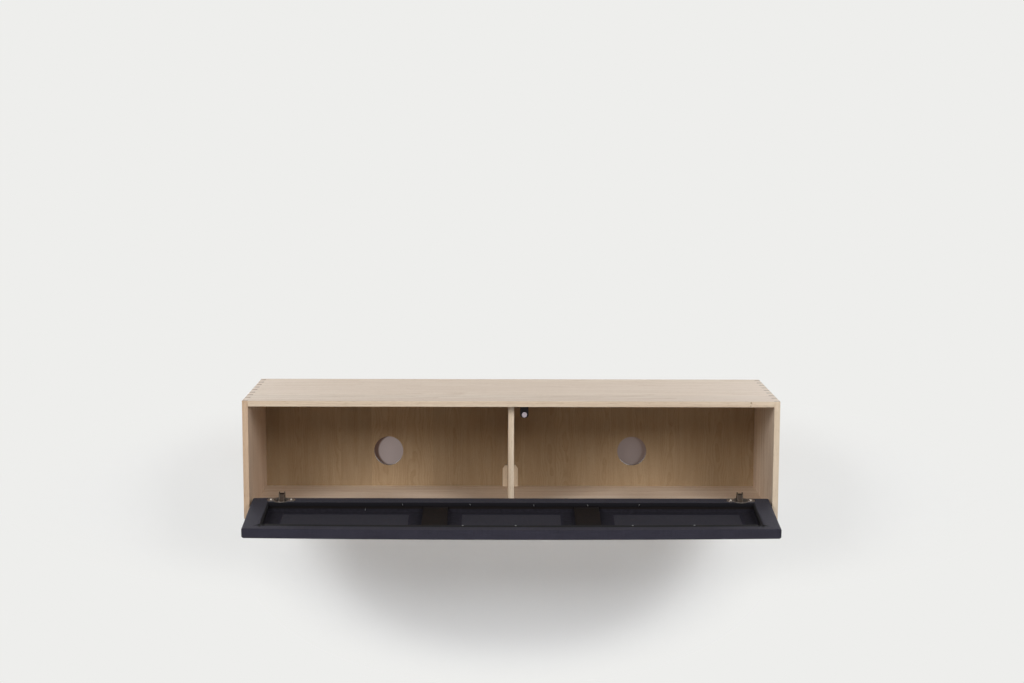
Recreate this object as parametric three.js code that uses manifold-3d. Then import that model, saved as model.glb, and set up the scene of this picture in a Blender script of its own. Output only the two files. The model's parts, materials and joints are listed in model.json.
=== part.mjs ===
// Floating media console. A dovetailed oak case hangs on a bevelled wall cleat and closes with a
// drop-down flap of cloth stretched over an open wooden frame. Millimetres, +Z up, the front faces
// -Y, the wall is the plane Y = 0, and the origin is the centre of the wall cleat's back face.
// The flap is modelled shut in a group at its hinge pins, and that group is turned open.
import * as THREE from "three";
import { mergeVertices } from "three/addons/utils/BufferGeometryUtils.js";
import Module from "manifold-3d";

const wasm = await Module();
wasm.setup();

// Case boards
const caseWidth = 1200;
const caseDepth = 400;
const caseHeight = 268;
const boardThickness = 13;
const dividerSetback = 36; // front plane of the case to the divider's front edge
const backThickness = 13;
const housingDepth = 4; // how deep the divider and the back panel are let into the boards
const cableHoleDiameter = 70;
const cableHoleHeight = 85.5; // floor of the case to the hole's centre
const cableHoleShift = 4; // each hole's distance from its bay's centre, towards the divider

// Dovetails: pins on the side panels, tails on the top and bottom
const firstPinSetback = 57;
const pinPitch = 46.3;
const pinWidth = 12; // at the outer face
const frontPinWidth = 8; // the half pin at the front edge
const dovetailSlopeShare = 1 / 6;

// Blocks at the divider's foot
const blockWidth = 11.7;
const blockDepth = 10;
const blockHeight = 52;
const blockChamferWidth = 6;
const blockChamferHeight = 9;

// Wall hanging
const cleatThickness = 22; // also the room behind the back panel
const caseCleatHeight = 55;
const wallCleatHeight = 80;
const cleatPlay = 0.3;
const cleatEndGap = 47; // side panel to the end of each cleat
const spacerHeight = 40;
const cleatScrewInset = 90; // end of the cleat to its first screw
const wallHoleRadius = 3;
const wallHoleSinkRadius = 6;

// Screws
const screwRadius = 1.7;
const screwHeadRadius = 3.6;
const screwHeadHeight = 2;
const screwTipLength = 3;
const screwFit = 0.15; // radial room round each shank
const recessWidth = 0.9;
const recessDepth = 1.1;
const recessSpan = 3.8;
const woodUnderTip = 3; // wood left in front of a screw's tip
const cupScrewLength = 13;

// Flap
const flapThickness = 22;
const flapSideGap = 4;
const flapBottomGap = 4.5;
const flapTopGap = 3.5;
const flapArris = 4; // radius of the long edges
const flapCorner = 6; // radius of the corners seen from the front
const flapRim = 39; // width of the rails and stiles with their cloth
const clothThickness = 1;
const clothTurnIn = 8; // how far the cloth runs down into the pocket
const crossBarWidth = 56;
const crossBarSpacing = 338;
const crossBarClearance = 0.6; // under the edge of the turned-in cloth
const glueLine = 0.1;
const openAngle = THREE.MathUtils.degToRad(96.5);

// Hinges
const hingeInset = 83; // outer face of the side panel to the hinge's centre
const pivotDepth = 8; // inner face of the flap to the pin
const pivotRise = 16.5; // hinge edge of the flap to the pin
const pinRadius = 1.5;
const pinFit = 0.1;
const cupRadius = 17.4;
const cupDepth = 13;
const cupWall = 1.2;
const cupInset = 20; // hinge edge of the flap to the cup's centre
const cupRimRadius = 19.4;
const flangeLength = 63;
const flangeWidth = 20;
const flangeCorner = 7;
const flangeThickness = 1.2;
const cupScrewSpacing = 45;
const armWidth = 13;
const armDepth = 4.5;
const armWall = 1.6;
const armEyeRadius = 3.4;
const armRise = 21; // length of the arm from the pin to its bend
const armBendRadius = 8;
const armRiseAngle = THREE.MathUtils.degToRad(56);
const armFallAngle = THREE.MathUtils.degToRad(-70);
const plateThickness = 3;
const plateSetback = 66; // front plane of the case to the plate's centre
const plateLength = 44;
const plateMargin = 1.5; // plate beyond the arm on each side
const plateWingLength = 48;
const plateWingWidth = 14;
const plateScrewSpacing = 32;
const armEndMargin = 4; // arm's end to the plate's end
const armScrewInset = 7;

// Push latch
const latchOffset = 14; // divider to the housing
const latchWidth = 18;
const latchHeight = 28.5;
const latchDrop = 21; // underside of the top to the plunger's axis
const latchSetback = 30;
const latchBodyLength = 56;
const latchCorner = 6;
const latchTabLength = 26;
const latchTabThickness = 5;
const latchScrewInset = 6;
const latchBoreRadius = 5.2;
const latchBoreDepth = 50;
const plungerRadius = 4.9;
const plungerLength = 29; // rod behind its tip
const plungerTipRadius = 6;
const plungerTipCrown = 0.8;
const plungerDimpleRadius = 1.1;
const plungerTravel = 3;
const plungerRest = 0.3; // room left behind the tip when it is pushed home
const strikeGap = 0.5; // shut flap to the plunger's tip
const springRadius = 3.8;
const springWireRadius = 0.45;
const springSeat = 0.3;
const springTurns = 8;
const strikeRadius = 8;
const strikeThickness = 1.5;

// Counts and facets
const cleatScrewCount = 4;
const spacerScrewCount = 3;
const holeSides = 48;
const cupSides = 32;
const smallSides = 16;
const cornerSteps = 3;
const arrisSteps = 3;
const bendSteps = 7;
const springSteps = 8;
const springSides = 5;

// Every cut runs this far past the face that it opens
const overrun = 2;

// Planes of the case
const outerX = caseWidth / 2;
const innerX = outerX - boardThickness;
const innerHeight = caseHeight - 2 * boardThickness;
const frontY = -caseDepth;
const backRearY = -cleatThickness;
const backFaceY = backRearY - backThickness;
const wallCleatBackHeight = wallCleatHeight - cleatThickness;
const ceilingZ = caseCleatHeight + cleatPlay + wallCleatBackHeight / 2;
const topZ = ceilingZ + boardThickness;
const floorZ = ceilingZ - innerHeight;
const bottomZ = floorZ - boardThickness;
const dividerX = boardThickness / 2;
const cleatX = innerX - cleatEndGap;
const hingeX = outerX - hingeInset;

// Planes of the flap, from the hinge pin, with the flap shut
const pivotSetback = flapThickness - pivotDepth;
const pivotHeight = flapBottomGap + pivotRise;
const flapX = innerX - flapSideGap;
const innerFaceY = pivotDepth;
const outerFaceY = pivotDepth - flapThickness;
const hingeEdgeZ = -pivotRise;
const freeEdgeZ = innerHeight - flapTopGap - pivotHeight;
const pocketX = flapX - flapRim;
const pocketLowZ = hingeEdgeZ + flapRim;
const pocketHighZ = freeEdgeZ - flapRim;

// Latch
const latchX = dividerX + latchOffset + latchWidth / 2;
const latchFrontY = frontY + latchSetback;
const latchBodyEndY = latchFrontY + latchBodyLength;
const latchAxisZ = ceilingZ - latchDrop;

// Finishes
const oak = new THREE.MeshStandardMaterial({ color: 0xcfbca0, roughness: 0.6, metalness: 0 });
const oakShade = new THREE.MeshStandardMaterial({ color: 0xb9a184, roughness: 0.7, metalness: 0 });
const pine = new THREE.MeshStandardMaterial({ color: 0xc9ab7c, roughness: 0.75, metalness: 0 });
const cloth = new THREE.MeshStandardMaterial({ color: 0x3a3941, roughness: 0.95, metalness: 0 });
const nickel = new THREE.MeshStandardMaterial({ color: 0xc4c2be, roughness: 0.3, metalness: 1 });
const zincSteel = new THREE.MeshStandardMaterial({ color: 0xb5b6b4, roughness: 0.4, metalness: 1 });
const blackPlastic = new THREE.MeshStandardMaterial({ color: 0x141316, roughness: 0.5, metalness: 0 });
const palePlastic = new THREE.MeshStandardMaterial({ color: 0xd6d0d4, roughness: 0.4, metalness: 0 });

// Directions in which an outline is pushed out, each read as (first axis, second axis, length)
const alongX = new THREE.Vector3(1, 0, 0);
const alongY = new THREE.Vector3(0, 1, 0);
const alongZ = new THREE.Vector3(0, 0, 1);
const turned = {
  x: new THREE.Matrix4().makeBasis(alongY, alongZ, alongX), // outline in (y, z)
  y: new THREE.Matrix4().makeBasis(alongZ, alongX, alongY), // outline in (z, x)
  z: new THREE.Matrix4().makeBasis(alongX, alongY, alongZ), // outline in (x, y)
};

// A geometry as a solid that can be joined and cut.
function solid(geometry) {
  const bare = new THREE.BufferGeometry();
  bare.setAttribute("position", (geometry.index ? geometry.toNonIndexed() : geometry).attributes.position);
  const merged = mergeVertices(bare);
  return new wasm.Manifold(
    new wasm.Mesh({
      numProp: 3,
      vertProperties: merged.attributes.position.array,
      triVerts: new Uint32Array(merged.index.array),
    }),
  );
}

// A named mesh from a solid.
function piece(name, material, body) {
  const made = body.getMesh();
  const geometry = new THREE.BufferGeometry();
  geometry.setAttribute("position", new THREE.BufferAttribute(made.vertProperties, made.numProp));
  geometry.setIndex(new THREE.BufferAttribute(made.triVerts, 1));
  const flat = geometry.toNonIndexed();
  flat.computeVertexNormals();
  const mesh = new THREE.Mesh(flat, material);
  mesh.name = name;
  return mesh;
}

function box([lowX, highX], [lowY, highY], [lowZ, highZ]) {
  const geometry = new THREE.BoxGeometry(highX - lowX, highY - lowY, highZ - lowZ);
  geometry.translate((lowX + highX) / 2, (lowY + highY) / 2, (lowZ + highZ) / 2);
  return solid(geometry);
}

// An outline, a THREE.Shape or a list of points, pushed out along an axis.
function prism(axis, outline, low, high) {
  const shape = Array.isArray(outline)
    ? new THREE.Shape(outline.map(([u, v]) => new THREE.Vector2(u, v)))
    : outline;
  const geometry = new THREE.ExtrudeGeometry(shape, {
    depth: high - low,
    bevelEnabled: false,
    curveSegments: cornerSteps,
  });
  geometry.translate(0, 0, low);
  return solid(geometry.applyMatrix4(turned[axis]));
}

// A profile of (radius, height) points turned round an axis that points outward through `at`.
function turning(profile, sides, at, outward) {
  const points = profile.map(([r, h]) => new THREE.Vector2(r, h));
  const geometry = new THREE.LatheGeometry(points, sides);
  const turn = new THREE.Quaternion().setFromUnitVectors(alongY, outward);
  geometry.applyQuaternion(turn);
  geometry.translate(at.x, at.y, at.z);
  return solid(geometry);
}

function cylinder(radius, sides, at, outward, low, high) {
  const profile = [
    [0, low],
    [radius, low],
    [radius, high],
    [0, high],
  ];
  return turning(profile, sides, at, outward);
}

function roundedRectangle(lowU, highU, lowV, highV, radius) {
  const shape = new THREE.Shape();
  shape.moveTo(lowU + radius, lowV);
  shape.lineTo(highU - radius, lowV);
  shape.absarc(highU - radius, lowV + radius, radius, -Math.PI / 2, 0);
  shape.lineTo(highU, highV - radius);
  shape.absarc(highU - radius, highV - radius, radius, 0, Math.PI / 2);
  shape.lineTo(lowU + radius, highV);
  shape.absarc(lowU + radius, highV - radius, radius, Math.PI / 2, Math.PI);
  shape.lineTo(lowU, lowV + radius);
  shape.absarc(lowU + radius, lowV + radius, radius, Math.PI, (3 * Math.PI) / 2);
  return shape;
}

// The cross recess of a screw's head, whose top lies at `top` along the outward direction.
function crossRecess(at, outward, top) {
  const across = outward.z === 0 ? alongZ : alongY;
  const other = new THREE.Vector3().crossVectors(outward, across);
  const arm = (wide, long) => {
    const geometry = new THREE.BoxGeometry(recessWidth, recessDepth + overrun, recessSpan);
    geometry.translate(0, top - recessDepth + (recessDepth + overrun) / 2, 0);
    geometry.applyMatrix4(new THREE.Matrix4().makeBasis(wide, outward, long));
    geometry.translate(at.x, at.y, at.z);
    return solid(geometry);
  };
  return arm(other, across).add(arm(across, other.clone().negate()));
}

// A pan-head screw whose head seats at `at` and whose shank runs against the outward direction.
function panScrew(at, outward, length) {
  const profile = [
    [0, -length],
    [screwRadius, screwTipLength - length],
    [screwRadius, 0],
    [screwHeadRadius, 0],
    [screwHeadRadius, screwHeadHeight / 2],
    [screwRadius + screwHeadRadius / 4, screwHeadHeight],
    [0, screwHeadHeight],
  ];
  return turning(profile, smallSides, at, outward).subtract(crossRecess(at, outward, screwHeadHeight));
}

// A countersunk screw whose flat head lies flush at `at`.
function sunkScrew(at, outward, length) {
  const profile = [
    [0, -length],
    [screwRadius, screwTipLength - length],
    [screwRadius, screwRadius - screwHeadRadius],
    [screwHeadRadius, 0],
    [0, 0],
  ];
  return turning(profile, smallSides, at, outward).subtract(crossRecess(at, outward, 0));
}

// The hole for a pan-head screw's shank, open past the face at `at`.
function shankHole(at, outward, length) {
  return cylinder(screwRadius + screwFit, smallSides, at, outward, -length, overrun);
}

// The hole for a countersunk screw, with its sink.
function sunkHole(at, outward, length) {
  const sink = screwHeadRadius + screwFit;
  const shank = screwRadius + screwFit;
  const profile = [
    [0, -length],
    [shank, -length],
    [shank, shank - sink],
    [sink, 0],
    [sink, overrun],
    [0, overrun],
  ];
  return turning(profile, smallSides, at, outward);
}

// Evenly spaced places between two ends, the ends included.
function spread(low, high, count) {
  return Array.from({ length: count }, (_, i) => low + ((high - low) * i) / (count - 1));
}

const sides = [
  ["left", -1],
  ["right", 1],
];

// Case. Where the pins stand along the depth, from the front plane.
const pinCount = Math.floor((caseDepth - firstPinSetback - pinWidth) / pinPitch) + 1;
const pinPlaces = Array.from({ length: pinCount }, (_, i) => frontY + firstPinSetback + i * pinPitch);
const pinFlare = boardThickness * dovetailSlopeShare;

// One end of a tail board, from front to rear: the tails widen towards the outer face.
function tailEdge(side) {
  const points = [
    [side * innerX, frontY],
    [side * innerX, frontY + frontPinWidth + pinFlare + glueLine],
    [side * outerX, frontY + frontPinWidth + glueLine],
  ];
  const outer = pinWidth / 2 + glueLine;
  const inner = outer + pinFlare;
  for (const y of pinPlaces) {
    points.push([side * outerX, y - outer]);
    points.push([side * innerX, y - inner]);
    points.push([side * innerX, y + inner]);
    points.push([side * outerX, y + outer]);
  }
  points.push([side * outerX, 0]);
  return points;
}

function tailBoard(lowZ, highZ) {
  return prism("z", [...tailEdge(1), ...tailEdge(-1).reverse()], lowZ, highZ);
}

// A side panel stops at the tail boards, and its pins run on through them.
function sideBoard(side) {
  const spanX = [side * innerX, side * outerX].sort((a, b) => a - b);
  let board = box(spanX, [frontY, 0], [floorZ, ceilingZ]);
  const frontPin = [
    [side * innerX, frontY],
    [side * outerX, frontY],
    [side * outerX, frontY + frontPinWidth],
    [side * innerX, frontY + frontPinWidth + pinFlare],
  ];
  board = board.add(prism("z", frontPin, bottomZ, topZ));
  for (const y of pinPlaces) {
    const outer = pinWidth / 2;
    const inner = outer + pinFlare;
    const pin = [
      [side * innerX, y - inner],
      [side * outerX, y - outer],
      [side * outerX, y + outer],
      [side * innerX, y + inner],
    ];
    board = board.add(prism("z", pin, bottomZ, topZ));
  }
  return board;
}

const housedZ = [floorZ - housingDepth, ceilingZ + housingDepth];
const housedX = [-innerX - housingDepth, innerX + housingDepth];
const backBoard = box(housedX, [backFaceY, backRearY], housedZ);
const divider = box([-dividerX, dividerX], [frontY + dividerSetback, backFaceY], housedZ);

const cableHoleX = (innerX + dividerX) / 2 - cableHoleShift;
let backPanel = backBoard;
for (const [, side] of sides) {
  const at = new THREE.Vector3(side * cableHoleX, backFaceY, floorZ + cableHoleHeight);
  const reach = backThickness + overrun;
  backPanel = backPanel.subtract(cylinder(cableHoleDiameter / 2, holeSides, at, alongY, -overrun, reach));
}

// Cleats. The 45-degree bevels take one cleat thickness, so the case hooks onto the wall cleat.
const bevelLowZ = ceilingZ - caseCleatHeight;
const bevelHighZ = bevelLowZ + cleatThickness;
let caseCleat = prism(
  "x",
  [
    [backRearY, ceilingZ],
    [backRearY, bevelHighZ],
    [0, bevelLowZ],
    [0, ceilingZ],
  ],
  -cleatX,
  cleatX,
);
let wallCleat = prism(
  "x",
  [
    [backRearY, bevelHighZ - cleatPlay],
    [backRearY, bevelHighZ - cleatPlay - wallCleatHeight],
    [0, bevelHighZ - cleatPlay - wallCleatHeight],
    [0, bevelLowZ - cleatPlay],
  ],
  -cleatX,
  cleatX,
);
let wallSpacer = box([-cleatX, cleatX], [backRearY, 0], [floorZ, floorZ + spacerHeight]);

const rearScrews = [];
const cleatScrewLength = cleatThickness + backThickness - woodUnderTip;
const cleatScrewPlaces = spread(cleatScrewInset - cleatX, cleatX - cleatScrewInset, cleatScrewCount);
cleatScrewPlaces.forEach((x, i) => {
  const at = new THREE.Vector3(x, 0, (ceilingZ + bevelHighZ) / 2);
  caseCleat = caseCleat.subtract(sunkHole(at, alongY, cleatScrewLength));
  backPanel = backPanel.subtract(sunkHole(at, alongY, cleatScrewLength));
  rearScrews.push(piece(`cleat_screw_${i + 1}`, zincSteel, sunkScrew(at, alongY, cleatScrewLength)));
  const sinkDepth = wallHoleSinkRadius - wallHoleRadius;
  const wallHole = [
    [0, -overrun],
    [wallHoleRadius, -overrun],
    [wallHoleRadius, cleatThickness - sinkDepth],
    [wallHoleSinkRadius, cleatThickness],
    [wallHoleSinkRadius, cleatThickness + overrun],
    [0, cleatThickness + overrun],
  ];
  const place = new THREE.Vector3(x, 0, 0);
  wallCleat = wallCleat.subtract(turning(wallHole, smallSides, place, alongY.clone().negate()));
});
spread(cleatScrewInset - cleatX, cleatX - cleatScrewInset, spacerScrewCount).forEach((x, i) => {
  const at = new THREE.Vector3(x, 0, floorZ + spacerHeight / 2);
  wallSpacer = wallSpacer.subtract(sunkHole(at, alongY, cleatScrewLength));
  backPanel = backPanel.subtract(sunkHole(at, alongY, cleatScrewLength));
  rearScrews.push(piece(`spacer_screw_${i + 1}`, zincSteel, sunkScrew(at, alongY, cleatScrewLength)));
});

let topPanel = tailBoard(ceilingZ, topZ).subtract(backBoard).subtract(divider);
let bottomPanel = tailBoard(bottomZ, floorZ).subtract(backBoard).subtract(divider);

const divisionBlocks = sides.map(([word, side]) => {
  const near = side * dividerX;
  const far = near + side * blockWidth;
  const outline = [
    [floorZ, near],
    [floorZ, far],
    [floorZ + blockHeight - blockChamferHeight, far],
    [floorZ + blockHeight, far - side * blockChamferWidth],
    [floorZ + blockHeight, near],
  ];
  return piece(`${word}_divider_block`, oakShade, prism("y", outline, backFaceY - blockDepth, backFaceY));
});

// Hinge arm. Its centre line, in (y, z), leaves the pin over the flap's hinge edge, bends down
// behind it and runs out flat on the plate.
const pinY = frontY + pivotSetback;
const pinZ = floorZ + pivotHeight;
const plateY = frontY + plateSetback;
const plateTopZ = floorZ + plateThickness;
const plateEndY = plateY + plateLength / 2;
const footEndY = plateEndY - armEndMargin;
const footZ = plateTopZ + armDepth / 2;

function armLine() {
  const points = [new THREE.Vector2(pinY, pinZ)];
  const direction = (angle) => new THREE.Vector2(Math.cos(angle), Math.sin(angle));
  const bend = (start, fromAngle, toAngle) => {
    const turn = Math.sign(toAngle - fromAngle);
    const centre = start.clone().addScaledVector(direction(fromAngle + (turn * Math.PI) / 2), armBendRadius);
    for (let i = 1; i <= bendSteps; i += 1) {
      const angle = fromAngle + ((toAngle - fromAngle) * i) / bendSteps - (turn * Math.PI) / 2;
      points.push(centre.clone().addScaledVector(direction(angle), armBendRadius));
    }
  };
  points.push(points[0].clone().addScaledVector(direction(armRiseAngle), armRise));
  bend(points[1], armRiseAngle, armFallAngle);
  const top = points[points.length - 1];
  const lowBendZ = footZ + armBendRadius * (1 - Math.cos(armFallAngle));
  const fall = (lowBendZ - top.y) / Math.sin(armFallAngle);
  points.push(top.clone().addScaledVector(direction(armFallAngle), fall));
  bend(points[points.length - 1], armFallAngle, 0);
  points.push(new THREE.Vector2(footEndY, footZ));
  return points;
}

// A strip that follows the arm's line between two offsets from it, counted to the left of travel.
function armStrip(right, left) {
  const line = armLine();
  const offset = (amount) =>
    line.map((point, i) => {
      const before = line[Math.max(i - 1, 0)];
      const after = line[Math.min(i + 1, line.length - 1)];
      const travel = after.clone().sub(before).normalize();
      return [point.x - travel.y * amount, point.y + travel.x * amount];
    });
  return [...offset(right), ...offset(left).reverse()];
}

function hingeArm(x) {
  const low = x - armWidth / 2;
  const high = x + armWidth / 2;
  const web = armStrip(-armDepth / 2, armWall - armDepth / 2);
  const cheek = armStrip(-armDepth / 2, armDepth / 2);
  const pin = new THREE.Vector3(0, pinY, pinZ);
  let arm = prism("x", web, low, high);
  arm = arm.add(prism("x", cheek, low, low + armWall));
  arm = arm.add(prism("x", cheek, high - armWall, high));
  arm = arm.add(cylinder(armEyeRadius, smallSides, pin, alongX, low, high));
  const eye = cylinder(pinRadius + pinFit, smallSides, pin, alongX, low - overrun, high + overrun);
  return arm.subtract(eye).subtract(shankHole(armScrewPlace(x), alongZ, armDepth));
}

function armScrewPlace(x) {
  return new THREE.Vector3(x, footEndY - armScrewInset, plateTopZ + armWall);
}

function hingePlate(x) {
  const bar = armWidth / 2 + plateMargin;
  const wing = plateWingLength / 2;
  const reach = plateWingWidth / 2;
  const outline = [
    [x - bar, plateY - plateLength / 2],
    [x + bar, plateY - plateLength / 2],
    [x + bar, plateY - reach],
    [x + wing, plateY - reach],
    [x + wing, plateY + reach],
    [x + bar, plateY + reach],
    [x + bar, plateEndY],
    [x - bar, plateEndY],
    [x - bar, plateY + reach],
    [x - wing, plateY + reach],
    [x - wing, plateY - reach],
    [x - bar, plateY - reach],
  ];
  return prism("z", outline, floorZ, plateTopZ);
}

const hingePieces = [];
for (const [word, side] of sides) {
  const x = side * hingeX;
  let plate = hingePlate(x);
  const armScrewLength = armWall + plateThickness - glueLine;
  plate = plate.subtract(shankHole(armScrewPlace(x), alongZ, armWall + plateThickness + overrun));
  const plateScrewLength = plateThickness + boardThickness - woodUnderTip;
  for (const [end, turn] of sides) {
    const at = new THREE.Vector3(x + (turn * plateScrewSpacing) / 2, plateY, plateTopZ);
    plate = plate.subtract(shankHole(at, alongZ, plateScrewLength));
    bottomPanel = bottomPanel.subtract(shankHole(at, alongZ, plateScrewLength));
    const name = `${word}_plate_screw_${end}`;
    hingePieces.push(piece(name, nickel, panScrew(at, alongZ, plateScrewLength)));
  }
  hingePieces.push(piece(`${word}_hinge_plate`, nickel, plate));
  hingePieces.push(piece(`${word}_hinge_arm`, nickel, hingeArm(x)));
  hingePieces.push(piece(`${word}_arm_screw`, nickel, panScrew(armScrewPlace(x), alongZ, armScrewLength)));
}

// Push latch under the top: a moulded housing with a blind bore, a sprung plunger and its tip.
function latchOutline() {
  const low = latchX - latchWidth / 2;
  const high = latchX + latchWidth / 2;
  const shape = new THREE.Shape();
  const bottom = ceilingZ - latchHeight;
  shape.moveTo(ceilingZ, low);
  shape.lineTo(ceilingZ, high);
  shape.lineTo(bottom + latchCorner, high);
  shape.absarc(bottom + latchCorner, high - latchCorner, latchCorner, Math.PI / 2, Math.PI);
  shape.lineTo(bottom, low + latchCorner);
  shape.absarc(bottom + latchCorner, low + latchCorner, latchCorner, Math.PI, (3 * Math.PI) / 2);
  return shape;
}

const latchMouth = new THREE.Vector3(latchX, latchFrontY, latchAxisZ);
let latchHousing = prism("y", latchOutline(), latchFrontY, latchBodyEndY);
latchHousing = latchHousing.add(
  box(
    [latchX - latchWidth / 2, latchX + latchWidth / 2],
    [latchBodyEndY - overrun, latchBodyEndY + latchTabLength],
    [ceilingZ - latchTabThickness, ceilingZ],
  ),
);
const latchBore = cylinder(latchBoreRadius, cupSides, latchMouth, alongY, -overrun, latchBoreDepth);
latchHousing = latchHousing.subtract(latchBore);

const latchScrews = [];
const latchScrewLength = latchTabThickness + boardThickness - woodUnderTip;
const latchScrewPlaces = [latchScrewInset, latchTabLength - latchScrewInset];
latchScrewPlaces.forEach((along, i) => {
  const at = new THREE.Vector3(latchX, latchBodyEndY + along, ceilingZ - latchTabThickness);
  const down = alongZ.clone().negate();
  latchHousing = latchHousing.subtract(shankHole(at, down, latchScrewLength));
  topPanel = topPanel.subtract(shankHole(at, down, latchScrewLength));
  latchScrews.push(piece(`latch_screw_${i + 1}`, zincSteel, panScrew(at, down, latchScrewLength)));
});

// Depths along the plunger's axis, from the housing's mouth.
const tipFront = flapThickness + strikeGap - latchSetback;
const tipBack = -plungerTravel - plungerRest;
const rodBack = tipBack + plungerLength;

function plungerTip() {
  const profile = [
    [0, tipBack - glueLine],
    [plungerTipRadius, tipBack - glueLine],
    [plungerTipRadius, tipFront + plungerTipCrown],
    [plungerTipRadius - plungerTipCrown, tipFront],
    [plungerDimpleRadius, tipFront],
    [0, tipFront + plungerTipCrown],
  ].reverse();
  return turning(profile, cupSides, latchMouth, alongY);
}

// The return spring: an open helix of round wire, from the plunger's end to the bore's end.
function springCoil() {
  const start = rodBack + springSeat + springWireRadius;
  const end = latchBoreDepth - springSeat - springWireRadius;
  const rings = springTurns * springSteps;
  const centres = [];
  const positions = [];
  for (let i = 0; i <= rings; i += 1) {
    const angle = (2 * Math.PI * i) / springSteps;
    const radial = new THREE.Vector3(Math.cos(angle), 0, Math.sin(angle));
    const centre = radial.clone().multiplyScalar(springRadius);
    centre.y = start + ((end - start) * i) / rings;
    centres.push(centre);
    for (let k = 0; k < springSides; k += 1) {
      const around = (2 * Math.PI * k) / springSides;
      const point = centre.clone();
      point.addScaledVector(radial, springWireRadius * Math.cos(around));
      point.addScaledVector(alongY, springWireRadius * Math.sin(around));
      point.add(latchMouth);
      positions.push(point.x, point.y, point.z);
    }
  }
  const faces = [];
  for (let i = 0; i < rings; i += 1) {
    for (let k = 0; k < springSides; k += 1) {
      const a = i * springSides + k;
      const b = i * springSides + ((k + 1) % springSides);
      faces.push(a, b, a + springSides);
      faces.push(b, b + springSides, a + springSides);
    }
  }
  const last = rings * springSides;
  for (let k = 1; k + 1 < springSides; k += 1) {
    faces.push(0, k + 1, k);
    faces.push(last, last + k, last + k + 1);
  }
  let least = Infinity;
  centres.forEach((p, i) => {
    centres.slice(i + springSteps / 2).forEach((q) => {
      least = Math.min(least, p.distanceTo(q));
    });
  });
  console.log(`latch spring, least gap to itself: ${(least - 2 * springWireRadius).toFixed(2)} mm`);
  const geometry = new THREE.BufferGeometry();
  geometry.setAttribute("position", new THREE.Float32BufferAttribute(positions, 3));
  geometry.setIndex(faces);
  const coil = solid(geometry);
  return coil.volume() < 0 ? solid(geometry.setIndex(faces.reverse())) : coil;
}

// Flap. The rounded block that the flap fills, drawn in by an inset on every side.
function flapBlock(inset) {
  const arris = flapArris - inset;
  const edge = inset + arris;
  const corner = flapCorner - flapArris;
  const shape = roundedRectangle(hingeEdgeZ + edge, freeEdgeZ - edge, edge - flapX, flapX - edge, corner);
  const geometry = new THREE.ExtrudeGeometry(shape, {
    depth: flapThickness - 2 * edge,
    bevelThickness: arris,
    bevelSize: arris,
    bevelSegments: arrisSteps,
    curveSegments: cornerSteps,
  });
  geometry.translate(0, 0, outerFaceY + edge);
  return solid(geometry.applyMatrix4(turned.y));
}

const wide = [-flapX, flapX];
const deep = [outerFaceY, innerFaceY];
const frameBlock = flapBlock(clothThickness + glueLine);
const frameOuterY = outerFaceY + clothThickness + glueLine;
const railLowZ = pocketLowZ - clothThickness;
const railHighZ = pocketHighZ + clothThickness;
const stileX = pocketX + clothThickness + glueLine;
let hingeRail = frameBlock.intersect(box(wide, deep, [hingeEdgeZ, railLowZ - glueLine]));
let freeRail = frameBlock.intersect(box(wide, deep, [railHighZ + glueLine, freeEdgeZ]));
const stiles = sides.map(([word, side]) => {
  const spanX = [side * stileX, side * flapX].sort((a, b) => a - b);
  return piece(`${word}_stile`, pine, frameBlock.intersect(box(spanX, deep, [railLowZ, railHighZ])));
});
const barTopY = innerFaceY - clothTurnIn - crossBarClearance;
const crossBars = sides.map(([word, side]) => {
  const x = (side * crossBarSpacing) / 2;
  const spanX = [x - crossBarWidth / 2, x + crossBarWidth / 2];
  return piece(`${word}_cross_bar`, pine, box(spanX, [frameOuterY, barTopY], [railLowZ, railHighZ]));
});

// The cloth: one skin round the block, open where the frame lies, turned down into the pocket.
const turnIn = box(
  [-pocketX - clothThickness, pocketX + clothThickness],
  [innerFaceY - clothTurnIn, innerFaceY],
  [pocketLowZ - clothThickness, pocketHighZ + clothThickness],
);
const pocket = box(
  [-pocketX, pocketX],
  [outerFaceY + clothThickness, innerFaceY + overrun],
  [pocketLowZ, pocketHighZ],
);
let fabricCover = flapBlock(0).subtract(flapBlock(clothThickness).subtract(turnIn)).subtract(pocket);

// Hinge cups, pins and cup screws, let into the hinge rail from the inner face.
const cupZ = hingeEdgeZ + cupInset;
const cupSeatY = innerFaceY + glueLine;
const cupFloorY = innerFaceY - cupDepth;
const inward = alongY;
const flapHardware = [];

function hingeCup(x) {
  const at = new THREE.Vector3(x, 0, cupZ);
  const bore = cupRadius - cupWall;
  const faceY = cupSeatY + flangeThickness;
  const profile = [
    [0, cupFloorY],
    [cupRadius, cupFloorY],
    [cupRadius, cupSeatY],
    [cupRimRadius, cupSeatY],
    [cupRimRadius, faceY],
    [bore, faceY],
    [bore, cupFloorY + cupWall],
    [0, cupFloorY + cupWall],
  ];
  const reach = flangeLength / 2;
  const wings = roundedRectangle(
    cupZ - flangeWidth / 2,
    cupZ + flangeWidth / 2,
    x - reach,
    x + reach,
    flangeCorner,
  );
  const flange = prism("y", wings, cupSeatY, faceY);
  const mouth = cylinder(bore, cupSides, at, inward, cupFloorY + cupWall, faceY + overrun);
  const pinHole = cylinder(
    pinRadius + pinFit,
    smallSides,
    new THREE.Vector3(x, 0, 0),
    alongX,
    -cupRimRadius,
    cupRimRadius,
  );
  return turning(profile, cupSides, at, inward).add(flange).subtract(mouth).subtract(pinHole);
}

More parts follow.
